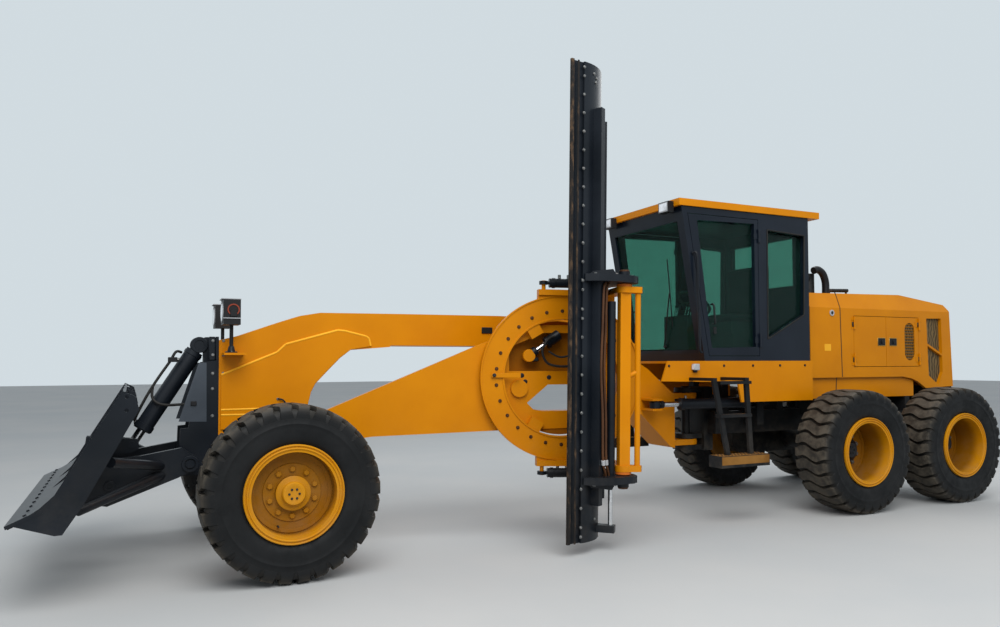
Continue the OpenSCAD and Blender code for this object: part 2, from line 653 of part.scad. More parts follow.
module cabShell() difference() {
    alongY(-cab_half, cab_half) polygon(cab_outline);
    alongY(-cab_half + cab_wall, cab_half - cab_wall) polygon([
        [pillarX(cab_floor - 10) - cab_wall, cab_floor - 10], [pillarX(3095) - cab_wall, 3095],
        [cab_rear_x + cab_wall, 3095], [cab_rear_x + cab_wall, cab_floor - 10]]);
    box([-1150, -600], [-560, 560], [1700, 3000]);
    box([cab_rear_x - 10, cab_rear_x + cab_wall + 10], [-480, 480], [2420, 2950]);
    alongY(-cab_half - 10, cab_half + 10) {
        polygon(side_window);
        polygon([
            [pillarX(door_low - door_gap) - 70 + door_gap, door_low - door_gap],
            [pillarX(door_high + door_gap) - 70 + door_gap, door_high + door_gap],
            [door_rear_x - door_gap, door_high + door_gap], [door_rear_x - door_gap, door_low - door_gap]]);
    }
}
module cab_roof() placed() color(yellow) box([-2525, -609], [-680, 680], [roof_low, roof_low + roof_t]);
module cabDoor() color(black) difference() {
    union() {
        alongY(cab_half - door_t, cab_half) difference() {
            polygon(door_outline);
            polygon(door_window);
        }
        doorKnuckles([door_hinge_x, door_hinge_y], cab_hinge_z);
        for (z = cab_hinge_z)
            box([door_hinge_x + 4, door_rear_x + 60], [cab_half - 1, cab_half + 6], [z - 30, z + 30]);
    }
    knuckleBores([door_hinge_x, door_hinge_y], cab_hinge_z);
}
module cab_door_left() placed() cabDoor();
module cab_door_right() placed() mirror([0, 1, 0]) cabDoor();
module doorGlass() color(tinted) alongY(cab_half - door_t - seat - glass_t, cab_half - door_t - seat)
    polygon(grow(door_window, [-1250, 2370], 1.02));
module door_glass_left() placed() doorGlass();
module door_glass_right() placed() mirror([0, 1, 0]) doorGlass();
module cab_glass() placed() color(tinted) {
    intersection() {
        alongY(-560 + seat, 560 - seat) polygon([
            [pillarX(1500) - 20, 1500], [pillarX(3200) - 20, 3200],
            [pillarX(3200) - 20 - glass_t, 3200], [pillarX(1500) - 20 - glass_t, 1500]]);
        box([-1150, -600], [-560, 560], [1700 + seat, 3000 - seat]);
    }
    bothSides() alongY(cab_half - cab_wall - seat - glass_t, cab_half - cab_wall - seat)
        polygon(grow(side_window, [-2040, 2450], 1.03));
    box([cab_rear_x + cab_wall + seat, cab_rear_x + cab_wall + seat + glass_t], [-495, 495], [2405, 2965]);
}
module cab_interior() placed() color(grey) {
    box([-2150, -1650], [-260, 260], [cab_floor, 1900]);
    box([-2150, -1630], [-260, 260], [1890, 2020]);
    box([-2200, -2060], [-250, 250], [1900, 2650]);
    box([-1250, -1080], [-200, 200], [cab_floor, 2080]);
    bar([-1200, 0, 2050], [-1330, 0, 2220], 30);
    between([-1330, 0, 2220], [-1460, 0, 2390]) rotate([0, 90, 0]) difference() {
        cylinder(r = 200, h = 25);
        translate([0, 0, -1]) cylinder(r = 175, h = 27);
    }
    between([-1330, 0, 2220], [-1460, 0, 2390]) box([0, 20], [-185, 185], [-20, 20]);
}
module hood() placed() color(yellow) {
    bothSides() for (h = [[front_lid_hinge_x, 1], [rear_lid_hinge_x, -1]]) {
        wallKnuckles([h[0], hood_hinge_y], hood_hinge_z);
        for (z = hood_hinge_z) for (s = [-1, 1]) box(
            [min(h[0] + 4 * h[1], h[0] + 40 * h[1]), max(h[0] + 4 * h[1], h[0] + 40 * h[1])],
            [hood_half - 1, hood_half + 5], [z + s * 50 - 19, z + s * 50 + 19]);
    }
    hoodShell();
}
module hoodShell() difference() {
    union() {
        intersection() {
            alongX(-5000, -2534) polygon([
                [-hood_half, 1100], [-hood_half, 2188], [-420, 2400],
                [420, 2400], [hood_half, 2188], [hood_half, 1100]]);
            alongY(-600, 600) polygon(hood_outline);
        }
        bothSides() box([-4272, -2560], [440, 480], [1160, 1420]);
    }
    difference() {
        intersection() {
            alongX(-4905, -2574) polygon([
                [-hood_half + 40, 1100], [-hood_half + 40, 2172], [-400, 2342], [400, 2342],
                [hood_half - 40, 2172], [hood_half - 40, 1100]]);
            alongY(-600, 600) polygon([
                [-2560, 1300], [-2560, 2314], [-4100, 2342], [-4830, 2242], [-4866, 2190],
                [-4900, 1000], [-4446, 1000]]);
        }
        bothSides() box([-4272, -2560], [440, 480], [1100, 1420]);
    }
    bothSides() {
        box([rear_hood_door[0] - door_gap, front_hood_door[1] + door_gap], [hood_half - 60, hood_half + 10],
            [hood_door_z[0] - door_gap, hood_door_z[1] + door_gap]);
        alongY(hood_half - 60, hood_half + 10) polygon(hood_window);
    }
    box([rear_x - 10, rear_x + 100], [-400, 400], [1450, 2150]);
}
hood_seam_x = -3761;
front_hood_door = [hood_seam_x + door_gap / 2, -3225];
rear_hood_door = [-4329, hood_seam_x - door_gap / 2];
hood_door_z = [1519, 2100];
module hoodDoor(x, hinge_x_, side) color(yellow) difference() {
    union() {
        box(x, [hood_half - 40, hood_half], hood_door_z);
        doorKnuckles([hinge_x_, hood_hinge_y], hood_hinge_z);
        for (z = hood_hinge_z) box(
            [min(hinge_x_ + 4 * side, hinge_x_ + 60 * side), max(hinge_x_ + 4 * side, hinge_x_ + 60 * side)],
            [hood_half - 1, hood_half + 5], [z - 30, z + 30]);
    }
    knuckleBores([hinge_x_, hood_hinge_y], hood_hinge_z);
}
front_lid_hinge_x = front_hood_door[1] + 3;
rear_lid_hinge_x = rear_hood_door[0] - 3;
module frontLid() hoodDoor(front_hood_door, front_lid_hinge_x, -1);
module rearLid() difference() {
    hoodDoor(rear_hood_door, rear_lid_hinge_x, 1);
    hull() for (z = vent_z) rodY([-4170, z], 88, hood_half - 15, hood_half + 1);
}
vent_z = [1676, 1950];
module hood_door_front_left() placed() frontLid();
module hood_door_rear_left() placed() rearLid();
module hood_door_front_right() placed() mirror([0, 1, 0]) frontLid();
module hood_door_rear_right() placed() mirror([0, 1, 0]) rearLid();
module hood_grille() placed() color(black) {
    bothSides() alongY(hood_half - 52, hood_half - 40 - seat) polygon(grow(hood_window, [-4630, 1750], 1.04));
    alongY(-440, 440) polygon([[-4887.7, 1420], [-4866.2, 2170], [-4850, 2170], [-4870, 1420]]);
}
module exhaust() placed() color(black) {
    rodZ([-2980, 100], 60, 2363 + seat, 2620);
    rodX([100, 2560], 52, -2980, -2860);
    bar([-3120, 250, 2415], [-3440, 250, 2425], 22);
    rodZ([-3140, 250], 12, 2365 + seat, 2416);
    rodZ([-3420, 250], 12, 2370 + seat, 2424);
}
module ladders() placed() color(black) bothSides() {
    alongY(985, 1015) {
        polygon([[-720, 1400], [-770, 1400], [-944, 600], [-894, 600]]);
        polygon([[-1120, 1400], [-1170, 1400], [-1222, 600], [-1172, 600]]);
    }
    for (z = [1053, 1373]) box([-1180, -790], [960, 1040], [z - 15, z + 15]);
    for (x = [-770, -1170]) box([x, x + 50], [cab_half + seat, 1015], [1390, 1420]);
    box([-1363, -758], [900, 1080], [562, 674]);
}
module work_lamps() placed() color(black) bothSides() {
    box([-609 + seat, -540], [430, 590], [roof_low - 60, roof_low + 50]);
}

front_frame();
front_axle();
knuckle_left();
knuckle_right();
tie_rod();
push_mast();
headlamps();
tyre_front_left();
rim_front_left();
tyre_front_right();
rim_front_right();
tyre_mid_left();
rim_mid_left();
tyre_mid_right();
rim_mid_right();
tyre_rear_left();
rim_rear_left();
tyre_rear_right();
rim_rear_right();
push_blade();
push_barrel();
push_rod();
drawbar();
turn_circle();
tilt_bracket();
blade();
shift_barrel();
shift_rod();
pitch_barrels();
pitch_rods();
lift_barrels();
lift_rods();
hinge_barrel_left();
hinge_barrel_right();
hinge_rod_left();
hinge_rod_right();
rear_frame();
tandem_drive();
engine();
cab_base();
cab_frame();
cab_roof();
cab_glass();
cab_interior();
cab_door_left();
cab_door_right();
door_glass_left();
door_glass_right();
hood();
hood_grille();
hood_door_front_left();
hood_door_rear_left();
hood_door_front_right();
hood_door_rear_right();
exhaust();
ladders();
work_lamps();
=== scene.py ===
# Motor grader with its moldboard stowed upright on the left, dressed for the photograph's view
import bpy
import bmesh
import math
from mathutils import Matrix, Vector


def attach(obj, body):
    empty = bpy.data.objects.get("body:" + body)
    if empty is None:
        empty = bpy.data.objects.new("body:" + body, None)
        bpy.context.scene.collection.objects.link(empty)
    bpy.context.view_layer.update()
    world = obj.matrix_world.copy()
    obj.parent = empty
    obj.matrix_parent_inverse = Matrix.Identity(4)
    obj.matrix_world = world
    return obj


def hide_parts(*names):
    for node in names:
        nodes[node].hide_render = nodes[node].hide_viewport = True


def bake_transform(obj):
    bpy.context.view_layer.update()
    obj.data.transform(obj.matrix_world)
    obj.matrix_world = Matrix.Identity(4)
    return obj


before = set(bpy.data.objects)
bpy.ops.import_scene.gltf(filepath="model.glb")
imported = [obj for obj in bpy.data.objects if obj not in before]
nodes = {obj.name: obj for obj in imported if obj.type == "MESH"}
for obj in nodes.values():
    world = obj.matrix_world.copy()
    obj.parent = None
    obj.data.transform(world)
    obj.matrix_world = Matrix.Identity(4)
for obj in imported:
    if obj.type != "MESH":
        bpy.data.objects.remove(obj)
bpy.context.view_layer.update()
print("frame loaded:", len(nodes), "nodes")

# Places are given from the machine's centre plane, metres, X forward, Y to its left, Z up
centreY = -0.135
home = Matrix.Translation((0, centreY, 0))

wheels = {"radius": 0.640, "halfTrack": 1.030, "front": 3.250, "mid": -2.575, "rear": -4.105}

# The stowed circle's own frame: its middle, swung out by the drawbar and leaning back a little
stowedPlace = {"ball": (3.450, 0, 0.907), "yaw": -16.0, "back": 2.722, "side": 0.150, "up": 0.533,
               "lean": -0.9}


def stowedFrame():
    s = stowedPlace
    swung = home @ Matrix.Translation(s["ball"]) @ Matrix.Rotation(math.radians(s["yaw"]), 4, "Z")
    return swung @ Matrix.Translation((-s["back"], s["side"], s["up"])) @ Matrix.Rotation(
        math.radians(s["lean"]), 4, "Y")


def wheelFrame(x, side):
    # local Z points outward
    turned = Matrix.Rotation(0 if side > 0 else math.pi, 4, "Z") @ Matrix.Rotation(-math.pi / 2, 4, "X")
    return home @ Matrix.Translation((x, side * wheels["halfTrack"], wheels["radius"])) @ turned


stowed = stowedFrame()

camera = {"place": (4.3184, 6.8783, 1.5676), "yaw": -0.4433, "pitch": 0.0341, "roll": 0.003,
          "focalPx": 778.308, "widthPx": 1000, "shiftY": 0.0232}


def makeCamera():
    c = camera
    data = bpy.data.cameras.new("viewCamera")
    data.sensor_width = 36.0
    data.lens = c["focalPx"] / c["widthPx"] * data.sensor_width
    data.shift_y = c["shiftY"]
    data.clip_end = 300
    cam = bpy.data.objects.new("viewCamera", data)
    bpy.context.scene.collection.objects.link(cam)
    turn = Matrix.Rotation(c["yaw"], 3, "Z")
    ahead = turn @ Vector((0, -1, 0))
    right = turn @ Vector((-1, 0, 0))
    ahead = Matrix.Rotation(c["pitch"], 3, right) @ ahead
    right = Matrix.Rotation(c["roll"], 3, ahead) @ right
    up = right.cross(ahead)
    cam.matrix_world = Matrix.Translation(home @ Vector(c["place"])) @ Matrix(
        (right, up, -ahead)).transposed().to_4x4()
    bpy.context.scene.camera = cam
    print("camera made")


makeCamera()


# Shader maths: a wire carries one socket, and arithmetic on it adds the nodes that it needs
class Wire:
    def __init__(self, paint, socket):
        self.paint = paint
        self.socket = socket

    def maths(self, operation, first, second=None):
        return self.paint.node("ShaderNodeMath", {"operation": operation}, {0: first, 1: second})

    def __add__(self, other):
        return self.maths("ADD", self, other)

    def __sub__(self, other):
        return self.maths("SUBTRACT", self, other)

    def __rsub__(self, other):
        return self.maths("SUBTRACT", other, self)

    def __mul__(self, other):
        return self.maths("MULTIPLY", self, other)

    __radd__ = __add__
    __rmul__ = __mul__

    def size(self):
        # the value without its sign
        return self.maths("ABSOLUTE", self)

    def between(self, low, high):
        # 0 at low, 1 at high, held outside
        return self.paint.node("ShaderNodeMapRange", {"clamp": True, "interpolation_type": "SMOOTHSTEP"}, {
            "Value": self, "From Min": low, "From Max": high, "To Min": 0.0, "To Max": 1.0})

    def part(self, axis):
        return self.paint.node("ShaderNodeSeparateXYZ", {}, {0: self}, axis)


class Paint:
    # one material: its nodes, and the surface shader that they end in
    def __init__(self, name):
        self.material = bpy.data.materials.new(name)
        self.material.use_nodes = True
        self.tree = self.material.node_tree
        self.tree.nodes.clear()
        self.out = self.tree.nodes.new("ShaderNodeOutputMaterial")
        self.place = self.node("ShaderNodeTexCoord", {}, {}, "Object")

    def node(self, kind, settings, sockets, out=0):
        made = self.tree.nodes.new(kind)
        for name, value in settings.items():
            setattr(made, name, value)
        for name, value in sockets.items():
            if isinstance(value, Wire):
                self.tree.links.new(value.socket, made.inputs[name])
            elif value is not None:
                made.inputs[name].default_value = value
        return Wire(self, made.outputs[out])

    def noise(self, scale, detail=3.0, rough=0.55, stretch=None):
        where = self.place
        if stretch:
            where = self.node("ShaderNodeMapping", {}, {"Vector": where, "Scale": stretch})
        return self.node("ShaderNodeTexNoise", {}, {"Vector": where, "Scale": scale, "Detail": detail,
                                                    "Roughness": rough})

    def share(self, name):
        # a number that the mesh carries at each corner
        return self.node("ShaderNodeAttribute", {"attribute_name": name}, {}, "Fac")

    def blend(self, share, first, second):
        # colours, share 0 gives the first
        return self.node("ShaderNodeMix", {"data_type": "RGBA"}, {0: share, 6: first, 7: second}, 2)

    def bump(self, height, strength, distance):
        return self.node("ShaderNodeBump", {}, {"Height": height, "Strength": strength, "Distance": distance})

    def surface(self, sockets):
        shader = self.node("ShaderNodeBsdfPrincipled", {}, sockets)
        self.tree.links.new(shader.socket, self.out.inputs["Surface"])
        return self.material


def rgba(r, g, b):
    return (r, g, b, 1.0)


# Sprayed coats: colour and its paler cloud, roughness, share of dust, gloss, weight of the clear coat, and
# for the rims the strength of the painted shade in their dish
coats = {
    "yellowCoat": {"colour": rgba(0.54, 0.180, 0.001), "pale": rgba(0.60, 0.21, 0.001),
                   "rough": 0.36, "dust": 0.16, "gloss": 0.10, "coat": 0.04},
    "rimCoat": {"colour": rgba(0.50, 0.195, 0.001), "pale": rgba(0.57, 0.24, 0.002),
                "rough": 0.42, "dust": 0.30, "gloss": 0.12, "coat": 0.0, "dish": 0.66},
    # painted shade: a darker yellow for the drawbar's webs, deep in its opening
    "shadedWebCoat": {"colour": rgba(0.24, 0.078, 0.001), "pale": rgba(0.31, 0.105, 0.001),
                "rough": 0.55, "dust": 0.30, "gloss": 0.08, "coat": 0.0},
    # a paler yellow: the blank label's own colour, and a painted highlight on the frame's weld beads
    "labelYellowAndBeadHighlight": {"colour": rgba(0.80, 0.36, 0.015), "pale": rgba(0.86, 0.42, 0.025),
                   "rough": 0.42, "dust": 0.10, "gloss": 0.12, "coat": 0.0},
    "blackCoat": {"colour": rgba(0.004, 0.006, 0.009), "pale": rgba(0.010, 0.013, 0.018),
                  "rough": 0.40, "dust": 0.10, "gloss": 0.20, "coat": 0.05},
    "bladeCoat": {"colour": rgba(0.003, 0.005, 0.008), "pale": rgba(0.009, 0.012, 0.017),
                  "rough": 0.38, "dust": 0.10, "gloss": 0.20, "coat": 0.06},
    "frameCoat": {"colour": rgba(0.004, 0.005, 0.006), "pale": rgba(0.010, 0.010, 0.011),
                  "rough": 0.5, "dust": 0.40, "gloss": 0.20, "coat": 0.0},
    # grey for a painted reflection of the sky on the mast's black sides
    "skyReflectionGrey": {"colour": rgba(0.035, 0.043, 0.054), "pale": rgba(0.062, 0.074, 0.090),
                 "rough": 0.34, "dust": 0.15, "gloss": 0.30, "coat": 0.10},
    "cabCoat": {"colour": rgba(0.003, 0.006, 0.012), "pale": rgba(0.006, 0.010, 0.018),
                "rough": 0.30, "dust": 0.08, "gloss": 0.22, "coat": 0.10},
}
dustColour = rgba(0.26, 0.21, 0.15)


def coatedSteel(name):
    # sprayed steel: faint cloudiness and orange peel, road dust low down and on what faces up, and on the
    # rims painted shade in the dish
    c = coats[name]
    p = Paint(name)
    cloud = p.noise(1.7, 4.0)
    fine = p.noise(260.0, 2.0)
    height = p.place.part("Z")
    facing = p.node("ShaderNodeTexCoord", {}, {}, "Normal").part("Z")
    speck = p.noise(38.0, 6.0, 0.7)
    settled = facing.between(0.35, 1.0) * speck.between(0.40, 0.75)
    splashed = (1.0 - height.between(0.25, 1.25)) * p.noise(7.0, 5.0, 0.65).between(0.35, 0.72)
    dust = (settled * 0.30 + splashed * 0.50) * c["dust"]
    colour = p.blend(cloud.between(0.3, 0.7), c["colour"], c["pale"])
    if "dish" in c:
        # painted shade darkens the rim's dish, nearer the middle than its flange, and with it anything else
        # nearer the machine's middle, such as the hood's louvre slats
        outward = (p.place.part("Y") - home.translation.y).size()
        dishShadeMask = 1.0 - outward.between(wheels["halfTrack"] + 0.06, wheels["halfTrack"] + 0.185)
        colour = p.blend(dishShadeMask * c["dish"] + cloud * 0.08, colour, rgba(0.11, 0.036, 0.001))
    colour = p.blend(dust, colour, dustColour)
    rough = dust * 0.5 + (c["rough"] - 0.05) + cloud * 0.10
    return p.surface({"Base Color": colour, "Roughness": rough, "Specular IOR Level": c["gloss"],
                      "Coat Weight": c["coat"], "Coat Roughness": 0.12,
                      "Normal": p.bump(fine, 0.06, 0.0015)})


def bareSteel(name, colour, pale, rough, grain):
    # machined or worn steel, with lengthwise scratches and a little rust in its hollows
    p = Paint(name)
    scratch = p.noise(60.0, 5.0, 0.6, grain)
    rust = p.noise(9.0, 5.0, 0.7).between(0.56, 0.74)
    tone = p.blend(scratch.between(0.35, 0.65), colour, pale)
    tone = p.blend(rust * 0.35, tone, rgba(0.11, 0.045, 0.018))
    return p.surface({"Base Color": tone, "Metallic": 1.0 - rust * 0.5,
                      "Roughness": scratch * 0.18 + rust * 0.25 + rough,
                      "Normal": p.bump(scratch, 0.15, 0.0006)})


def wornEdge(name):
    # cutting edge: paint rubbed off to brown steel in streaks across it
    p = Paint(name)
    streak = p.noise(22.0, 6.0, 0.65, (1.0, 1.0, 0.35))
    tone = p.blend(streak.between(0.48, 0.72), rgba(0.012, 0.010, 0.009), rgba(0.12, 0.070, 0.036))
    return p.surface({"Base Color": tone, "Metallic": streak * 0.3, "Roughness": 0.80 - streak * 0.3,
                      "Specular IOR Level": 0.25,
                      "Normal": p.bump(streak, 0.3, 0.001)})


def tyreRubber(name):
    # black rubber: the tread is brown with dust, the wall has a greyer bloom
    p = Paint(name)
    bloom = p.noise(3.0, 4.0)
    mud = p.noise(11.0, 6.0, 0.7).between(0.36, 0.66)
    tone = p.blend(bloom.between(0.3, 0.7), rgba(0.003, 0.0035, 0.004), rgba(0.009, 0.0095, 0.010))
    tone = p.blend(p.share("treadShare") * (mud * 0.55 + 0.25), tone, rgba(0.105, 0.088, 0.066))
    fine = p.noise(180.0, 3.0)
    return p.surface({"Base Color": tone, "Roughness": mud * 0.25 + 0.50, "Specular IOR Level": 0.22,
                      "Normal": p.bump(fine, 0.2, 0.0015)})


def cabPane(name):
    # green tinted glass with a thin film of dust, dark from outside
    p = Paint(name)
    film = p.noise(6.0, 5.0, 0.7).between(0.45, 0.8)
    clear = p.node("ShaderNodeBsdfTransparent", {}, {"Color": rgba(0.56, 0.80, 0.73)})
    shine = p.node("ShaderNodeBsdfPrincipled", {}, {
        "Base Color": rgba(0.015, 0.035, 0.030), "Roughness": film * 0.12 + 0.03})
    mixed = p.node("ShaderNodeMixShader", {}, {0: film * 0.06 + 0.20, 1: clear, 2: shine})
    p.tree.links.new(mixed.socket, p.out.inputs["Surface"])
    return p.material


def mouldedPlastic(name, colour, pale, rough):
    # fine grained plastic, vinyl or rubber
    p = Paint(name)
    grain = p.noise(420.0, 2.0)
    cloud = p.noise(4.0, 4.0)
    return p.surface({"Base Color": p.blend(cloud.between(0.3, 0.7), colour, pale),
                      "Roughness": cloud * 0.12 + rough, "Specular IOR Level": 0.25,
                      "Normal": p.bump(grain, 0.15, 0.0008)})


def wovenMesh(name):
    # fine wire cloth: wavy bands of brass brown over the dark behind it
    p = Paint(name)
    bands = p.node("ShaderNodeTexWave", {"wave_profile": "TRI"}, {"Vector": p.place, "Scale": 7.0,
                                                                "Distortion": 9.0, "Detail": 2.0})
    weave = p.noise(140.0, 2.0)
    tone = p.blend(bands.between(0.2, 0.8) * 0.75 + weave * 0.25, rgba(0.030, 0.021, 0.010),
                   rgba(0.19, 0.125, 0.050))
    return p.surface({"Base Color": tone, "Roughness": weave * 0.2 + 0.55, "Specular IOR Level": 0.3,
                      "Normal": p.bump(bands, 0.3, 0.002)})


def lampGlass(name, colour, glow):
    # ribbed lens, a little lit from its own reflector
    p = Paint(name)
    ribs = p.node("ShaderNodeTexWave", {}, {"Vector": p.place, "Scale": 40.0, "Distortion": 0.3})
    cloud = p.noise(12.0)
    return p.surface({"Base Color": p.blend(cloud.between(0.3, 0.7), colour, glow), "Roughness": 0.08,
                      "Coat Weight": 0.6, "Emission Color": glow, "Emission Strength": 0.12,
                      "Normal": p.bump(ribs, 0.35, 0.002)})


# Steels and irons: colour, paler worn colour, roughness, stretch of their scratches along X
steels = {
    "boltSteel": ((0.15, 0.15, 0.15), (0.28, 0.28, 0.27), 0.40, 1.0),
    "chromeRod": ((0.60, 0.61, 0.63), (0.72, 0.73, 0.74), 0.10, 0.2),
    "castIron": ((0.03, 0.03, 0.03), (0.06, 0.06, 0.06), 0.5, 1.0),
    "brownPin": ((0.07, 0.032, 0.016), (0.15, 0.072, 0.035), 0.5, 1.0),
    "goldFrame": ((0.45, 0.27, 0.06), (0.55, 0.36, 0.10), 0.3, 1.0),
}
# Plastics, rubbers and cloth: colour, paler cloud, roughness
plastics = {
    "dustyStep": ((0.15, 0.060, 0.006), (0.25, 0.115, 0.022), 0.7),
    "cabTrim": ((0.040, 0.043, 0.045), (0.060, 0.064, 0.066), 0.55),
    "seatCloth": ((0.014, 0.015, 0.018), (0.026, 0.027, 0.031), 0.8),
    "blackPlastic": ((0.006, 0.006, 0.007), (0.011, 0.011, 0.012), 0.42),
    "hoseRubber": ((0.009, 0.009, 0.009), (0.020, 0.018, 0.016), 0.55),
    "brownHose": ((0.050, 0.019, 0.007), (0.090, 0.036, 0.013), 0.6),
    "greyPlastic": ((0.30, 0.31, 0.32), (0.40, 0.41, 0.42), 0.5),
    "redRing": ((0.20, 0.030, 0.012), (0.28, 0.050, 0.022), 0.4),
    "orangeShim": ((0.55, 0.12, 0.01), (0.62, 0.18, 0.02), 0.5),
}
# Lamp lenses: colour, and the colour that they glow in
lenses = {
    "lampLens": ((0.42, 0.45, 0.47), (0.75, 0.80, 0.85)),
    "amberLens": ((0.50, 0.14, 0.01), (0.80, 0.28, 0.03)),
    "redLens": ((0.30, 0.01, 0.01), (0.50, 0.02, 0.02)),
}


def makeLooks():
    made = {name: coatedSteel(name) for name in coats}
    made["edgeSteel"] = wornEdge("edgeSteel")
    for name, (colour, pale, rough, stretch) in steels.items():
        made[name] = bareSteel(name, rgba(*colour), rgba(*pale), rough, (stretch, 1.0, 1.0))
    made["tyreRubber"] = tyreRubber("tyreRubber")
    made["cabPane"] = cabPane("cabPane")
    made["wovenMesh"] = wovenMesh("wovenMesh")
    for name, (colour, pale, rough) in plastics.items():
        made[name] = mouldedPlastic(name, rgba(*colour), rgba(*pale), rough)
    for name, (colour, glow) in lenses.items():
        made[name] = lampGlass(name, rgba(*colour), rgba(*glow))
    print("materials made:", len(made))
    return made


looks = makeLooks()

coatOfNode = {
    "yellowCoat": ["front_frame", "drawbar", "turn_circle", "cab_base", "cab_roof", "hood",
                   "hood_door_front_left", "hood_door_rear_left", "hood_door_front_right",
                   "hood_door_rear_right"],
    "rimCoat": ["rim_front_left", "rim_front_right", "rim_mid_left", "rim_mid_right", "rim_rear_left",
                "rim_rear_right"],
    "blackCoat": ["push_mast", "push_blade", "push_barrel", "tilt_bracket", "shift_barrel", "pitch_barrels",
                  "lift_barrels", "hinge_barrel_left", "hinge_barrel_right"],
    "frameCoat": ["front_axle", "knuckle_left", "knuckle_right", "tie_rod", "rear_frame", "tandem_drive",
                  "ladders"],
    "bladeCoat": ["blade"],
    "cabCoat": ["cab_frame", "cab_door_left", "cab_door_right"],
    "castIron": ["engine", "exhaust"],
    "blackPlastic": ["headlamps", "work_lamps"],
    "wovenMesh": ["hood_grille"],
    "chromeRod": ["push_rod", "shift_rod", "pitch_rods", "lift_rods", "hinge_rod_left", "hinge_rod_right"],
    "tyreRubber": ["tyre_front_left", "tyre_front_right", "tyre_mid_left", "tyre_mid_right",
                   "tyre_rear_left", "tyre_rear_right"],
    "cabPane": ["cab_glass", "door_glass_left", "door_glass_right"],
    "cabTrim": ["cab_interior"],
}


def coatNodes():
    for look, names in coatOfNode.items():
        for name in names:
            mesh = nodes[name].data
            mesh.materials.clear()
            mesh.materials.append(looks[look])
    print("frame coated")


coatNodes()


# The record's slot whose finish a look follows; any other coat is black paint, and the rest dark plastic
slotOfLook = {"yellowCoat": "yellow_paint", "rimCoat": "yellow_paint", "shadedWebCoat": "yellow_paint",
              "labelYellowAndBeadHighlight": "yellow_paint", "cabCoat": "cab_paint", "tyreRubber": "tyre_rubber",
              "cabPane": "tinted_glass", "lampLens": "tinted_glass", "amberLens": "tinted_glass",
              "chromeRod": "chromed_rod", "castIron": "bare_iron", "boltSteel": "bare_iron",
              "edgeSteel": "bare_iron", "goldFrame": "bare_iron", "brownPin": "bare_iron"}


def slotOf(look):
    return slotOfLook.get(look, "black_paint" if look in coats else "dark_plastic")


def square(direction):
    # a turned frame whose Z follows the direction
    return Vector(direction).to_track_quat("Z", "Y").to_matrix().to_4x4()


